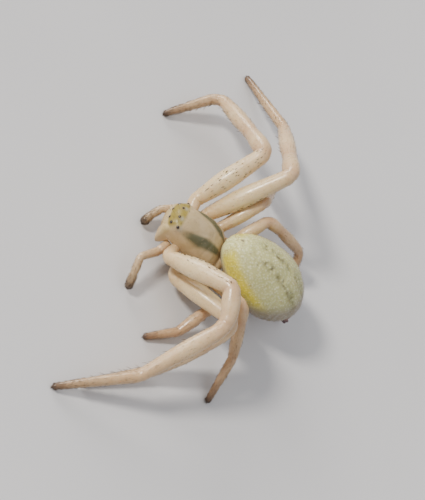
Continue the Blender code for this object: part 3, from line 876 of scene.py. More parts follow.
def ball(name, centre, radii, material, rows=20, sides=28):
    """An oval ball: centre plus the radii times the sines and cosines of two angles."""
    rises = np.linspace(-math.pi / 2, math.pi / 2, rows + 2)[1:-1]
    rise, turn = np.meshgrid(rises, round_angles(sides), indexing="ij")
    grid = np.stack([np.cos(rise) * np.cos(turn), np.cos(rise) * np.sin(turn), np.sin(rise)], -1)
    centre = np.array(centre)
    radii = np.array(radii)
    pole = np.array((0, 0, radii[2]))
    return closed_piece(name, centre + grid * radii, [centre - pole, centre + pole], material)


# %% [markdown]
# The raw pieces of the skin, still in plan millimetres: the two large bodies, ten tubes, the
# waist, the heart-shaped plate between the legs, the lip and two lobes of the mouth behind
# the jaws, and the spinnerets at the tail. They reach into one another on purpose.

# %% All pieces of the skin
SPINNERETS = ((0.12, 0.1, 0.11), (0.09, -0.02, 0.09), (0.12, -0.13, 0.1))
SHIELD_GRID, shield_ends = shield_shape()
ABDOMEN_GRID, abdomen_ends = abdomen_shape()
raw = [closed_piece("raw_shield", SHIELD_GRID, shield_ends, SHIELD_SKIN)]
raw.append(closed_piece("raw_abdomen", ABDOMEN_GRID, abdomen_ends, ABDOMEN_SKIN))
raw += [closed_piece("raw_limb", tube["grid"], tube["ends"], LEG_SKIN) for tube in TUBES]
raw.append(taper("raw_waist", ((0, 1.0, 1.4), (0, 2.4, 2.1)), (0.3, 0.3, 0.3), SHIELD_SKIN))
for mirror in (1, -1):
    raw.append(ball("raw_rear_wall", (0.42 * mirror, 1.5, 1.62), (0.55, 0.42, 0.46), SHIELD_SKIN))
raw.append(ball("raw_plate", (0, 0.05, 1.0), (0.72, 1.04, 0.25), SHIELD_SKIN))
raw.append(ball("raw_lip", (0, -1.0, 0.92), (0.2, 0.22, 0.3), SHIELD_SKIN))
for mirror in (1, -1):
    raw.append(ball("raw_lobe", (0.26 * mirror, -1.02, 0.94), (0.17, 0.22, 0.3), SHIELD_SKIN))
    raw.append(closed_piece("raw_jaw", *jaw_shape(mirror), SHIELD_SKIN))
for mirror in (1, -1):
    for across, rise, thick in SPINNERETS:
        line = ((across * mirror, 5.9, 0.98 + rise), (across * 0.95 * mirror, 6.96, 0.5 + rise))
        radii = (thick * 1.4, thick * 1.15, thick * 0.75)
        raw.append(taper("raw_spinneret", line, radii, DUSKY_SKIN, 14, 14))
knob = ((0, 6.0, 1.5), (0, 6.62, 1.05))
raw.append(taper("raw_tail_knob", knob, (0.24, 0.22, 0.12), DUSKY_SKIN, 16, 14))
print("raw pieces:", len(raw), "points:", sum(len(piece.data.vertices) for piece in raw))

# %% [markdown]
# One skin shows no seam. A Boolean union makes it: it cuts away what lies inside another
# piece and joins the rest along the cut. The Manifold solver is quick and keeps closed
# shapes closed. Each face keeps the material of the piece it came from, which later tells
# legs, shield and abdomen apart.

# %% Fuse the pieces into one skin
def fuse(pieces, name):
    """The union of closed pieces as one new object; the pieces are removed."""
    first = pieces[0]
    for piece in pieces[1:]:
        step = first.modifiers.new("fuse", "BOOLEAN")
        step.operation = "UNION"
        step.solver = "MANIFOLD"
        step.material_mode = "TRANSFER"
        step.object = piece
    graph = bpy.context.evaluated_depsgraph_get()
    mesh = bpy.data.meshes.new_from_object(first.evaluated_get(graph))
    mesh.name = name
    made = placed(name, mesh)
    for piece in pieces:
        bpy.data.objects.remove(piece, do_unlink=True)
    return made


skin = fuse(raw, "skin")
print("skin:", len(skin.data.vertices), "points,", len(skin.data.polygons), "faces")

# %% [markdown]
# Painting: every point of the skin gets its large colours worked out from where it lies.
# For a leg that is the distance along the leg, so each point first looks for the nearest
# place on the lines of the legs and palps. Joints are darker, where thin skin folds in, the
# feet turn brown, and their tips almost black.

# %% Which part each point belongs to
def layered(count, base, layers):
    """Colours for a number of points: a base colour, then each layer's colour mixed over
    what is there by the layer's share."""
    colours = np.ones((count, 3)) * base
    for colour, share in layers:
        colours = colours * (1 - share[:, None]) + np.array(colour) * share[:, None]
    return colours


def read_values(items, name, kind=int, width=1):
    """One property of all points, faces or corners of a mesh, as a flat array."""
    values = np.empty(len(items) * width, kind)
    items.foreach_get(name, values)
    return values


skin_points = read_values(skin.data.vertices, "co", float, 3).reshape(-1, 3)
face_material = read_values(skin.data.polygons, "material_index")
face_size = read_values(skin.data.polygons, "loop_total")
point_material = np.zeros(len(skin_points), int)
point_material[read_values(skin.data.loops, "vertex_index")] = np.repeat(face_material, face_size)
MATERIAL_NAMES = [material.name for material in skin.data.materials]


def of_finish(material):
    """Which points carry a finish."""
    return point_material == MATERIAL_NAMES.index(material.name)


def nearest_on_tubes(points, tubes):
    """For each point: the tube whose line is nearest, measured in that tube's radii, and the
    row of the nearest place on it. Squared distance is |p|^2 + |c|^2 - 2 p . c."""
    best = np.full(len(points), np.inf)
    which = np.zeros(len(points), int)
    row = np.zeros(len(points), int)
    for k, tube in enumerate(tubes):
        centres = tube["centres"]
        squared = (points**2).sum(1)[:, None] + (centres**2).sum(1) - 2 * points @ centres.T
        spot = squared.argmin(1)
        apart = np.sqrt(squared.min(1).clip(0)) / np.maximum(tube["radii"][spot], 0.1)
        closer = apart < best
        best[closer] = apart[closer]
        which[closer] = k
        row[closer] = spot[closer]
    return which, row


print("points of each finish:", dict(zip(MATERIAL_NAMES, np.bincount(point_material).tolist())))

# %% [markdown]
# A leg is cream on the thigh and tan at the joints, a foot brown. The colours are named
# after their places, and every row of the tube gets a mix of the two places it lies between.

# %% Colours of legs and palps
LEG_COLOURS = {
    "hip": (0.58, 0.39, 0.21), "thigh start": (0.72, 0.53, 0.29), "thigh": (0.8, 0.63, 0.36),
    "thigh end": (0.72, 0.53, 0.3), "knee": (0.6, 0.4, 0.23), "knee cap": (0.7, 0.51, 0.29),
    "cap end": (0.6, 0.4, 0.23), "shin": (0.71, 0.52, 0.3), "ankle": (0.6, 0.4, 0.22),
    "foot": (0.52, 0.35, 0.19), "toes": (0.38, 0.24, 0.13), "tip": (0.15, 0.085, 0.05),
}
PALP_COLOURS = (
    (0.64, 0.45, 0.26), (0.62, 0.43, 0.25), (0.56, 0.4, 0.23), (0.48, 0.34, 0.19), (0.2, 0.13, 0.08),
)


def leg_tint(leg, number):
    """A colour for each row of a leg: the named colours at their places along it, and a
    little duller and redder on the two short pairs."""
    j = leg["joints"]
    foot = j[5] - j[4]
    places = [
        0, j[1], j[1] + 0.4 * (j[2] - j[1]), j[2] - 0.35, j[2], (j[2] + j[3]) / 2, j[3],
        j[3] + 0.4 * (j[4] - j[3]), j[4], j[4] + 0.45 * foot, j[4] + 0.82 * foot, j[5],
    ]
    colours = np.array(list(LEG_COLOURS.values()))
    if number > 2:
        colours = colours * (0.92, 0.88, 0.88)
    return mixed_along(places, colours, leg["stations"])


for (_, number), leg in LEGS.items():
    leg["tints"] = leg_tint(leg, number)
for palp in PALPS.values():
    palp["tints"] = mixed_along(palp["joints"], PALP_COLOURS, palp["stations"])
row_offset = np.cumsum([0] + [len(tube["tints"]) for tube in TUBES])
all_tints = np.concatenate([tube["tints"] for tube in TUBES])

tints = np.ones((len(skin_points), 3)) * 0.5
marks = np.zeros((len(skin_points), 3))
on_legs = of_finish(LEG_SKIN)
which, row = nearest_on_tubes(skin_points[on_legs], TUBES)
tints[on_legs] = all_tints[row_offset[which] + row]
print("points on legs and palps:", on_legs.sum())

# %% [markdown]
# The shield is beige. A dark green-grey stripe runs along each side, narrow at the eyes and
# widest over the second pair of legs. The field between the two rows of eyes is yellow, the
# swellings of the side eyes are grey, and each eye stands in a thin dark ring.

# %% Colours of the shield and the parts under it
STRIPE_Y = (-1.4, -0.9, -0.1, 0.7, 1.2)
STRIPE_OFFSET = (0.8, 0.8, 0.74, 0.55, 0.42)
STRIPE_HALF = (0.06, 0.15, 0.31, 0.26, 0.12)
GREY_SPOTS = (((0.32, -1.56, 2.72), 0.12), ((0.84, -1.42, 2.55), 0.17))


def shield_tint(points):
    """Beige, then pale edge, partly a painted highlight along the raised rim, stripe, yellow
    field, grey swellings, thin dark eye rings and browner jaw tips, each laid over the last
    by a soft mask of the point's place."""
    x, y, z = np.abs(points[:, 0]), points[:, 1], points[:, 2]
    folded = np.stack([x, y, z], -1)
    edge = np.exp(-(((z - 1.4) / 0.06) ** 2)) * fade(x, 0.6, 0.85) * fade(y, -1.5, -1.2)
    away = np.abs(x - np.interp(y, STRIPE_Y, STRIPE_OFFSET)) / np.interp(y, STRIPE_Y, STRIPE_HALF)
    stripe = (1 - fade(away, 0.45, 1.25)) * fade(z, 1.9, 2.1) * fade(y, -1.4, -0.6) * fade(-y, -1.45, -0.9)
    layers = [
        ((0.52, 0.4, 0.23), 0.8 * fade(z, 2.45, 2.85)),
        ((0.6, 0.46, 0.22), 0.7 * fade(-y, 1.5, 1.85) * fade(z, 1.0, 1.9)),
        # The pale edge: partly a painted highlight, the light along the raised rim.
        ((0.86, 0.72, 0.48), 0.8 * edge),
        ((0.075, 0.078, 0.035), 0.95 * stripe),
    ]
    field = fade(-y, 1.32, 1.5) * fade(z, 2.05, 2.2) * (1 - fade(x, 0.62, 0.85))
    layers.append(((0.27, 0.2, 0.012), 0.95 * field))
    for centre, reach in GREY_SPOTS:
        layers.append(((0.38, 0.35, 0.27), 0.85 * near(folded, centre, reach)))
    for centre, radius, _ in EYES.values():
        ring = 1 - fade(np.linalg.norm(folded - centre, axis=1), radius * 1.05, radius * 1.5)
        layers.append(((0.08, 0.045, 0.025), 0.9 * ring))
    low = (1 - fade(z, 0.55, 0.9)) * fade(-y, 1.2, 1.4)
    layers.append(((0.4, 0.25, 0.14), 0.7 * low))
    return layered(len(points), (0.52, 0.375, 0.2), layers)


on_shield = of_finish(SHIELD_SKIN)
tints[on_shield] = shield_tint(skin_points[on_shield])
print("points on the shield, jaws and plate:", on_shield.sum())

# %% [markdown]
# The abdomen is a pale greenish white on its back and pebbly. A bright yellow band runs
# along each flank from the front. Painted shade darkens the lower rear: the rear fades into
# grey-mauve, more so lower down, the belly is a darker mauve, and the tail end darker
# still. Two dotted brown bands run back from the shoulders, and the muscle dents are dark.

# %% Colours of the abdomen
BAND_SHARES = (0.12, 0.3, 0.55, 0.85)
BAND_OFFSETS = (0.3, 0.4, 0.5, 0.45)


def abdomen_tint(points):
    """Pale back, yellow flank band, then painted shade: a grey rear, a darker mauve belly and a
    dark tail, laid over in that order, and the three marks: pebble strength, band share and
    dent darkness."""
    share, sideways, height = abdomen_place(points)
    level = height / 1.6
    flank = fade(level, -0.3, -0.1) * (1 - fade(level, 0.2, 0.5))
    yellow = flank * (1 - fade(share, 0.5, 0.75)) * fade(share, 0.0, 0.06)
    # rear and tail are masks of painted shade: towards the rear and lower down, and under the tail end.
    rear = fade(share + 0.45 * (0.8 - level), 0.7, 1.0)
    tail = fade(share, 0.9, 0.99) * (1 - fade(level, 0.1, 0.5))
    colours = layered(len(points), (0.6, 0.585, 0.31), [
        ((0.68, 0.67, 0.36), 1 - fade(share, 0.05, 0.3)),
        ((0.79, 0.68, 0.04), 0.85 * yellow),
        # Painted shade: grey over the rear, deeper the lower it lies.
        ((0.27, 0.22, 0.18), 0.9 * rear),
        # The belly's mauve, darkened further with painted shade.
        ((0.25, 0.17, 0.14), 0.85 * (1 - fade(level, -0.5, -0.1))),
        # Painted shade: the tail end under the abdomen.
        ((0.17, 0.1, 0.09), 0.7 * tail),
    ])
    pebbles = fade(level, -0.4, 0.1) * (1 - 0.6 * rear)
    off = np.abs(np.abs(sideways) - np.interp(share, BAND_SHARES, BAND_OFFSETS))
    bands = (1 - fade(off, 0.02, 0.34)) * fade(height, 0.5, 0.9) * fade(share, 0.12, 0.22)
    dark = np.zeros(len(points))
    for place, offset, radius in MUSCLE_DENTS:
        apart = dent_distance(points, place, offset) / radius
        dark = np.maximum(dark, 1 - fade(apart, 0.3, 0.9))
    dark = dark * fade(height, 0.2, 0.5) * 0.85
    return colours, np.stack([pebbles, 0.9 * bands, dark], -1)


on_abdomen = of_finish(ABDOMEN_SKIN)
tints[on_abdomen], marks[on_abdomen] = abdomen_tint(skin_points[on_abdomen])
print("points on the abdomen:", on_abdomen.sum())


def store_colours(mesh, name, colours):
    """Writes colours to the points of a mesh, as a colour attribute with alpha 1."""
    layer = mesh.color_attributes.new(name, "FLOAT_COLOR", "POINT")
    layer.data.foreach_set("color", np.concatenate([colours, np.ones((len(colours), 1))], 1).ravel())


store_colours(skin.data, "tint", tints)
store_colours(skin.data, "marks", marks)

# %% [markdown]
# The skin moves to its place in the frame and takes over from every solid of flesh: all but
# the eyes. The solids stay in the model for weight and touch, and the skin is what shows.

# %% The skin replaces the solids
skin.data.vertices.foreach_set("co", in_frame(skin_points).ravel())
skin.data.update()
skin.data.shade_smooth()
flesh = [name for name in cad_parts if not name.startswith("eye_")]
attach(skin, "root")
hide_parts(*flesh)
print("the skin stands for", len(flesh), "solids")

# %% [markdown]
# A spider has eight simple eyes in two rows that curve back at their ends. Each is a clear
# dome, almost black, because no light comes back out of it. A low dome of the eye's own
# radius, sunk to a little over half in the rim of skin, gives the one sharp point of light
# that makes it look alive.

# %% Eyes
EYE_GLASS = new_finish("dark_eye", 0.06, coat=0.3)
two_tone(EYE_GLASS, (9000, 2, 0.3, 0.7), (0.008, 0.006, 0.006, 1), (0.035, 0.018, 0.01, 1))
uneven_gloss(EYE_GLASS, 15000, 2, 0.05, 0.1)
tell(EYE_GLASS)

for name, (centre, radius, _) in EYES.items():
    for side, mirror in (("left", 1), ("right", -1)):
        spot = in_frame(np.array(centre) * (mirror, 1, 1))
        eye = ball("dome_" + name + "_" + side, spot, (radius * MM,) * 3, EYE_GLASS, 14, 24)
        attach(eye, "root")
        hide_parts(name + "_" + side)
print("eyes made:", 2 * len(EYES))

# %% [markdown]
# Claws: each foot ends in two small curved claws, dark brown and horny. Each is a cone
# carried along a quarter of a circle. Two fangs fold in under the jaws in the same way.

# %% Claws and fangs
HORN = new_finish("brown_horn", 0.25, coat=0.4)
two_tone(HORN, (7000, 3, 0.35, 0.65), (0.022, 0.01, 0.006, 1), (0.09, 0.04, 0.02, 1))
uneven_gloss(HORN, 16000, 2, 0.2, 0.36)
bump(HORN, noise(HORN, 20000, 2), 0.000004)
tell(HORN)


def curved_cone(base, ahead, down, length, thick, rows=8, sides=8):
    """A cone whose centre runs along ahead times the sine and down times one minus the
    cosine of an angle up to 75 degrees, and whose radius shrinks with the power 0.6 of what
    is left of its length. Gives the grid of points and its two ends."""
    share = np.linspace(0, 0.96, rows)
    angle = np.radians(75) * np.append(share, 1.0)[:, None]
    centre = base + length * (ahead * np.sin(angle) + down * (1 - np.cos(angle)))
    across = unit(np.cross(ahead, down))
    turn = round_angles(sides)[None, :, None]
    out = unit(np.cross(across, ahead))
    radius = (thick * (1 - share) ** 0.6)[:, None, None]
    grid = centre[:-1, None] + radius * (across * np.cos(turn) + out * np.sin(turn))
    return grid, [base - ahead * thick * 0.3, centre[-1]]


def joined_cones(name, cones):
    """One piece of horn from many cones of the same size."""
    points = np.stack([np.concatenate([grid.reshape(-1, 3), ends]) for grid, ends in cones])
    faces = repeated(wrap_faces(*cones[0][0].shape[:2]), len(cones), points.shape[1])
    made = new_mesh(name, in_frame(points).reshape(-1, 3), faces, HORN)
    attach(made, "root")
    print(name, "has", len(cones), "cones")


DOWN = np.array((0.0, 0.0, -1.0))
CLAW_FLOOR = 0.004
CLAW_SIZE = (0.15, 0.034)
FANG_SIZE = (0.2, 0.075)
claws = []
for leg in LEGS.values():
    ahead = unit(leg["along"][-1] * (1, 1, 0.3))
    for sideways in (-leg["side"][-1], leg["side"][-1]):
        base = leg["ends"][1] - leg["along"][-1] * 0.07 + sideways * 0.05 + (0, 0, 0.035)
        claws.append(curved_cone(base, unit(ahead + sideways * 0.18), DOWN, *CLAW_SIZE))
for grid, ends in claws:
    grid[..., 2] = grid[..., 2].clip(CLAW_FLOOR)
    ends[1][2] = max(ends[1][2], CLAW_FLOOR)
joined_cones("claws", claws)

fangs = []
for mirror in (1, -1):
    base = np.array((0.42 * mirror, -1.56, 0.54))
    inward = np.array((-1.0 * mirror, 0.2, 0))
    fangs.append(curved_cone(base, DOWN, inward, *FANG_SIZE, 10, 12))
joined_cones("fangs", fangs)

# %% [markdown]
# Hairs. A spider's hair is a stiff thin thorn that leans towards the foot or the tail and
# bends a little. At this size each one is real geometry: three small rings of three points
# and a tip, ten points in all. All hairs of a piece are worked out at once as arrays.

# %% A hair is a thin bent thorn
RING_PLACES = (0.0, 0.4, 0.75)
RING_SIZES = (1.0, 0.85, 0.5)
HAIR_BEND = 0.22
HAIR_FLOOR = 0.003
CORNERS = np.arange(3)
CORNER_ANGLES = CORNERS * 2 * math.pi / 3
NEXT_CORNERS = (CORNERS + 1) % 3
HAIR_QUADS = np.concatenate([
    np.stack([k + CORNERS, k + NEXT_CORNERS, k + 3 + NEXT_CORNERS, k + 3 + CORNERS], -1) for k in (0, 3)
])
HAIR_FANS = np.concatenate([[(0, 2, 1)], np.stack([6 + CORNERS, 6 + NEXT_CORNERS, np.full(3, 9)], -1)])


def hair_points(hairs):
    """Ten points for each hair. It starts along lean times cos(rise) plus out times
    sin(rise), and bends by 0.22 s^2 towards lean, where s is the share of its length."""
    rise = hairs["rise"][:, None]
    start = unit(hairs["lean"] * np.cos(rise) + hairs["out"] * np.sin(rise))
    share = np.array((*RING_PLACES, 1.0))[None, :, None]
    bend = HAIR_BEND * share**2 * (hairs["lean"] - start)[:, None]
    centres = hairs["roots"][:, None] + hairs["lengths"][:, None, None] * (share * start[:, None] + bend)
    first = unit(np.cross(start, hairs["out"]))
    second = np.cross(start, first)
    angle = CORNER_ANGLES[None, :, None]
    ring = first[:, None] * np.cos(angle) + second[:, None] * np.sin(angle)
    thick = hairs["radii"][:, None] * np.array(RING_SIZES)
    rings = centres[:, :3, None] + ring[:, None] * thick[:, :, None, None]
    points = np.concatenate([rings.reshape(-1, 9, 3), centres[:, 3:]], 1)
    points[..., 2] = points[..., 2].clip(HAIR_FLOOR)
    return points


print("faces of one hair:", len(HAIR_QUADS) + len(HAIR_FANS))

# %% [markdown]
# Each hair stands on one of the grids that made the skin, at a fractional row and side. Its
# root is the bilinear mix of the four grid points round that place. It leans along the
# rows, which run towards the foot or the tail. Every root also has its place on a flat map
# of the same grid: a column of the map for each leg and palp, and a field for the abdomen
# and the shield. There its hair is a small patch.

# %% Where hairs stand
rng = np.random.default_rng(11)
for k, leg in enumerate(LEGS.values()):
    leg["field"] = (0.02 + 0.06 * k, 0.02, 0.05, 0.96)
for palp, left_edge in zip(PALPS.values(), (0.52, 0.575)):
    palp["field"] = (left_edge, 0.02, 0.045, 0.96)
ABDOMEN_FIELD = (0.64, 0.5, 0.34, 0.48)
SHIELD_FIELD = (0.64, 0.02, 0.34, 0.44)
TINY = 1e-9
ROOT_DEPTH = 1.5
PALE_BROWN = (0.5, 0.34, 0.19)
DARK_BROWN = (0.06, 0.035, 0.02)


def on_grid(grid, row, side):
    """Roots, outward directions and row directions at fractional rows and sides. Outward is
    the cross product of the two grid directions, turned away from the row's centre."""
    sides = grid.shape[1]
    low = np.floor(row).astype(int).clip(0, len(grid) - 2)
    here = np.floor(side).astype(int) % sides
    ahead = (here + 1) % sides
    t = (row - low)[:, None]
    w = (side - np.floor(side))[:, None]
    near_edge = grid[low, here] * (1 - w) + grid[low, ahead] * w
    far_edge = grid[low + 1, here] * (1 - w) + grid[low + 1, ahead] * w
    roots = near_edge * (1 - t) + far_edge * t
    lean = unit(far_edge - near_edge + TINY)
    out = unit(np.cross(lean, grid[low, ahead] - grid[low, here] + TINY))
    facing = (out * (roots - grid[low].mean(1))).sum(1)
    return roots, out * np.where(facing < 0, -1, 1)[:, None], lean


def hair_set(grid, row, side, field, length, radius, rise, colours):
    """Hairs on a grid: length and radius each vary by a quarter, rise is a range of degrees,
    and roots are sunk by one and a half radii."""
    count = len(row)
    roots, out, lean = on_grid(grid, row, side)
    vary = rng.uniform(0.75, 1.25, (2, count))
    radii = radius * vary[1]
    place = np.stack([side / grid.shape[1], row / (len(grid) - 1)], -1)
    return dict(
        roots=roots - out * radii[:, None] * ROOT_DEPTH, out=out, lean=lean, lengths=length * vary[0],
        radii=radii, rise=np.radians(rng.uniform(*rise, count)),
        colours=np.broadcast_to(colours, (count, 3)), map=place * field[2:] + field[:2],
    )


def chosen_hairs(hairs, keep):
    """Only the hairs that a mask keeps."""
    return {name: values[keep] for name, values in hairs.items()}


print("fields on the flat map:", len(TUBES) + 2)

# %% [markdown]
# One mesh for each group of hairs. The patch of a hair on the flat map is 0.003 high and a
# little narrower: its three corners go round in one direction of the map and its length
# runs in the other.

# %% Hairs become a mesh
HAIR = new_finish("fine_hair", 0.42)
shade = spread(noise(HAIR, 9000, 2), 0.3, 0.7, 0.0, 0.5)
connect(HAIR, mix("MULTIPLY", shade, painted(HAIR, "tint"), (0.55, 0.5, 0.45, 1)), "Base Color")
uneven_gloss(HAIR, 14000, 2, 0.32, 0.55)
bump(HAIR, noise(HAIR, 60000, 2), 0.000002)
tell(HAIR)
PATCH_SIZE = 0.003
LOWEST_ROOT = 0.03


def coat_piece(name, sets):
    """Joins sets of hairs into one object, with its colours and its map, called OFBake."""
    hairs = {key: np.concatenate([one[key] for one in sets]) for key in sets[0]}
    hairs = chosen_hairs(hairs, hairs["roots"][:, 2] > LOWEST_ROOT)
    count = len(hairs["roots"])
    faces = repeated((HAIR_QUADS, HAIR_FANS), count, 10)
    made = new_mesh(name, in_frame(hair_points(hairs)).reshape(-1, 3), faces, HAIR)
    store_colours(made.data, "tint", np.repeat(hairs["colours"], 10, 0))
    across = np.append(np.tile(np.cos(CORNER_ANGLES), 3), 0.0) * PATCH_SIZE * 0.45
    along = (np.append(np.repeat(RING_PLACES, 3), 1.0) - 0.5) * PATCH_SIZE
    flat = (hairs["map"][:, None] + np.stack([across, along], -1)).reshape(-1, 2)
    corners = read_values(made.data.loops, "vertex_index")
    made.data.uv_layers.new(name="OFBake").data.foreach_set("uv", flat[corners].ravel())
    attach(made, "root")
    print(name, "has", count, "hairs")


# %% [markdown]
# Legs wear short pale fur that lies towards the foot, with dark hairs mixed in, more of them
# the further out they stand. The feet are bristly and nearly black at the claws. The thighs
# of the first two pairs carry short dark dashes that lie flat on their upper inner side, and
# two rows of spines stand under the shins and feet of the catching legs.

# %% Hairs all round a limb
def row_at(tube, station):
    """The fractional row of a limb's grid at a distance along it, short of the last row."""
    rows = np.arange(len(tube["stations"]))
    return np.interp(station, tube["stations"], rows).clip(0, len(rows) - 1.01)


def on_limb(tube, start, end, count, length, radius, rise, colours=None, dark=0.0):
    """Hairs spread evenly between two distances along a limb and all round it. Without a
    colour of their own they take the skin's, and a share of them is dark."""
    row = row_at(tube, rng.uniform(start, end, count))
    side = rng.uniform(0, tube["grid"].shape[1], count)
    if colours is None:
        colours = tube["tints"][row.astype(int)] * 0.9
    is_dark = rng.uniform(0, 1, count) < dark
    colours = np.where(is_dark[:, None], DARK_BROWN, colours)
    return hair_set(tube["grid"], row, side, tube["field"], length, radius, rise, colours)


# %% [markdown]
# The spines of the catching legs are thick hairs at fixed shares of shin and foot. The dashes
# are hairs too: a painted line would look flat, a thin thorn that lies on the skin catches
# the light as the real one does.

# %% Spines and dashes
TOWARDS = np.array((0.5575, -0.3186, 0.7666))
SPINE_SHARES = np.array((0.2, 0.42, 0.64, 0.86))
SPINE_BROWN = (0.16, 0.09, 0.05)
DASHES = {1: (170, 0.55, 1.0), 2: (300, 0.35, 0.52)}
DASH_LIFT = 1.8


def leg_spines(leg):
    """Two rows of four spines under the shin and four under the foot's first part."""
    shin, ankle = leg["joints"][3:5]
    parts = [shin + (ankle - shin) * SPINE_SHARES, ankle + (leg["foot_joint"] - ankle) * SPINE_SHARES]
    station = np.concatenate(parts)
    row = row_at(leg, np.tile(station, 2))
    side = np.repeat((0.43, 0.57), len(station)) * leg["grid"].shape[1]
    return hair_set(leg["grid"], row, side, leg["field"], 0.32, 0.016, (35, 50), SPINE_BROWN)


def leg_dashes(leg, side, number):
    """Short thick hairs that lie flat, kept where the cosine between outward and TOWARDS,
    which is mirrored for the left legs, lies between two limits."""
    count, low, high = DASHES[number]
    hip, knee = leg["joints"][1:3]
    dashes = on_limb(leg, hip + 0.2, knee, count, 0.13, 0.017, (4, 9), DARK_BROWN)
    dashes["roots"] = dashes["roots"] + dashes["out"] * dashes["radii"][:, None] * DASH_LIFT
    facing = dashes["out"] @ (TOWARDS * (-1 if side == "left" else 1, 1, 1))
    return chosen_hairs(dashes, (facing > low) & (facing < high))


# %% [markdown]
# Each leg gets its fur in zones, from hip to toe: shorter and paler near the body, denser
# and darker outwards. All legs of a side share one mesh.

# %% Hairs of the legs
def leg_hairs(side, number, leg):
    """All sets of hairs of one leg, half as many on a short one."""
    _, hip, _, shin, ankle, toe = leg["joints"]
    many = 1 if number < 3 else 0.5
    sets = [
        on_limb(leg, hip - 0.3, shin, int(450 * many), 0.13, 0.006, (22, 38), dark=0.12),
        on_limb(leg, shin, ankle, int(420 * many), 0.15, 0.0065, (22, 38), dark=0.25),
        on_limb(leg, ankle, toe, int(450 * many), 0.15, 0.0065, (25, 42), dark=0.5),
        on_limb(leg, leg["foot_joint"], toe, int(200 * many), 0.13, 0.0065, (20, 35), dark=0.6),
        on_limb(leg, toe - 0.2, toe, 60, 0.09, 0.007, (30, 60), DARK_BROWN),
    ]
    if number < 3:
        sets += [leg_spines(leg), leg_dashes(leg, side, number)]
    return sets


for side in ("left", "right"):
    sets = []
    for number in (1, 2, 3, 4):
        sets += leg_hairs(side, number, LEGS[side, number])
    coat_piece(f"hairs_of_{side}_legs", sets)

# %% [markdown]
# The palps are the hairiest part: their hairs grow denser outwards and are dark at the tip.

# %% Hairs of the palps
sets = []
for palp in PALPS.values():
    _, first, second, third, tip = palp["joints"]
    sets += [
        on_limb(palp, first, second, 120, 0.12, 0.006, (22, 40), dark=0.1),
        on_limb(palp, second, third, 160, 0.14, 0.006, (22, 45), dark=0.2),
        on_limb(palp, third, tip, 260, 0.15, 0.0065, (20, 45), dark=0.35),
        on_limb(palp, tip - 0.35, tip, 160, 0.14, 0.007, (25, 50), DARK_BROWN),
    ]
coat_piece("hairs_of_palps", sets)

# %% [markdown]
# The abdomen and the shield only have short thin hairs, far apart. A few long dark bristles
# stand between the eyes and under them, where the spider feels its prey.

# %% Hairs of the body
BRISTLES = (
    (0.1, -1.98, 1.86), (0.32, -1.96, 1.82), (0.52, -1.92, 1.88), (0.7, -1.86, 1.95), (0.08, -1.95, 2.38),
    (0.36, -1.88, 2.46), (0.12, -1.78, 2.6), (0.5, -1.7, 2.66), (0.62, -1.45, 2.76), (0.2, -1.35, 2.86),
)


def body_hairs(grid, count, field, low, high, length, radius, rise, colour):
    """Short hairs between two shares of a body's rows, on its upper three quarters."""
    row = rng.uniform(low, high, count) * (len(grid) - 1.01)
    side = rng.uniform(-0.08, 0.58, count) % 1.0 * grid.shape[1]
    return hair_set(grid, row, side, field, length, radius, rise, np.array(colour))


def bristles():
    """Long bristles on the shield's grid, each at the point nearest to its wished place."""
    spots = np.array(BRISTLES)
    spots = np.concatenate([spots, spots * (-1, 1, 1)])
    flat = SHIELD_GRID.reshape(-1, 3)
    nearest = ((flat[None] - spots[:, None]) ** 2).sum(2).argmin(1)
    row, side = np.divmod(nearest, SHIELD_GRID.shape[1])
    row = row.clip(1, len(SHIELD_GRID) - 3).astype(float)
    made = hair_set(SHIELD_GRID, row, side.astype(float), SHIELD_FIELD, 0.24, 0.008, (40, 60), DARK_BROWN)
    made["lean"] = unit(made["lean"] * (1, -0.2, 1) + (0.0, -0.9, 0.2))
    return made


coat_piece("hairs_of_body", [
    body_hairs(ABDOMEN_GRID, 1300, ABDOMEN_FIELD, 0.06, 0.94, 0.12, 0.0055, (35, 60), PALE_BROWN),
    body_hairs(SHIELD_GRID, 330, SHIELD_FIELD, 0.15, 0.85, 0.1, 0.0055, (25, 45), PALE_BROWN),
    bristles(),
])

# %% [markdown]
# The floor is plain and pale. It isn't part of the spider.

# %% Floor
FLOOR = new_finish("pale_floor", 0.6)
two_tone(FLOOR, (40, 3, 0.3, 0.7), (0.66, 0.65, 0.66, 1), (0.7, 0.69, 0.7, 1))
tell(FLOOR)
bpy.ops.mesh.primitive_plane_add(size=1.2, location=(0, 0, 0))
floor = bpy.context.object
floor.name = "floor"
floor.data.materials.append(FLOOR)

# %% [markdown]
# The camera looks down from the left of the spider's face, from 80 mm away, and leans to
# one side. Three directions say how it stands: TOWARDS the camera, which the dashes used
# before, RIGHT and UP in the picture. The picture's height shows 25 mm at that distance, so
# the lens is the distance times the sensor's 36 mm over 25 mm.

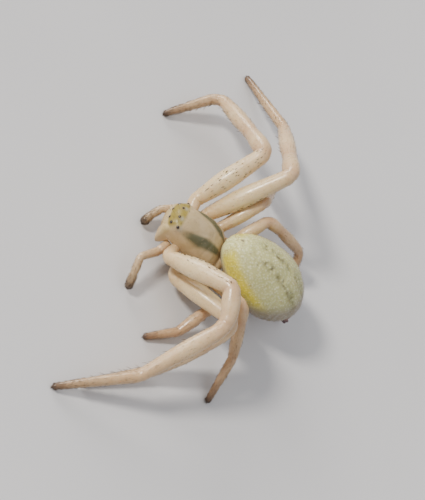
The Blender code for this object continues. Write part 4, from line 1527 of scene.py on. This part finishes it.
# %% Camera
RIGHT = np.array((-0.3254, 0.7657, 0.5549))
UP = np.array((-0.7637, -0.5588, 0.3232))
AIM = np.array((0.0, 0.0, 2.2)) + 0.49 * RIGHT - 0.75 * UP
DISTANCE = 80.0
SENSOR = 36.0
PICTURE_HEIGHT = 25.0


def stand(thing, right, back, place):
    """Turns a thing so that its own x goes right and its own z goes back, at a place."""
    turned = np.eye(4)
    turned[:3, :3] = np.stack([right, np.cross(back, right), back], 1)
    turned[:3, 3] = place
    thing.matrix_world = Matrix(turned.tolist())


camera_data = bpy.data.cameras.new("camera")
camera_data.lens = DISTANCE * SENSOR / PICTURE_HEIGHT
camera_data.sensor_width = SENSOR
camera_data.clip_start = 0.002
camera_data.clip_end = 10.0
camera = placed("camera", camera_data)
right = unit(RIGHT - TOWARDS * (RIGHT @ TOWARDS) / (TOWARDS @ TOWARDS))
back = unit(TOWARDS)
stand(camera, right, back, in_frame(AIM + back * DISTANCE))
bpy.context.scene.camera = camera
print("lens:", round(camera_data.lens, 1), "mm")

# %% [markdown]
# Light: one broad sun from the picture's upper left, a second low one from its top that lays
# the long highlights on the thighs, a weak one from the other side, and a pale sky all
# round, so that shadows are soft and nothing is lost in black.

# %% Light
def add_sun(name, towards, strength, spread_degrees, colour):
    """A sun that shines from the given direction, made broad to soften its shadows."""
    data = bpy.data.lights.new(name, "SUN")
    data.energy = strength
    data.angle = math.radians(spread_degrees)
    data.color = colour
    back = unit(towards)
    stand(placed(name, data), unit(np.cross((0.0, 0.0, 1.0), back)), back, (0, 0, 0))
    print("sun", name, "has strength", strength)


add_sun("key", 0.75 * TOWARDS - 0.3 * RIGHT + 0.6 * UP, 3.1, 10, (1.0, 0.96, 0.89))
add_sun("rim", 0.08 * TOWARDS - 0.15 * RIGHT + 1.0 * UP, 2.0, 26, (1.0, 0.98, 0.94))
add_sun("fill", 0.5 * TOWARDS + 0.7 * RIGHT + 0.1 * UP, 0.5, 60, (0.95, 0.96, 1.0))
world = bpy.data.worlds.new("sky")
bpy.context.scene.world = world
world.use_nodes = True
sky = world.node_tree.nodes["Background"]
feed(sky.inputs["Color"], (0.9, 0.91, 0.93, 1))
feed(sky.inputs["Strength"], 0.55)
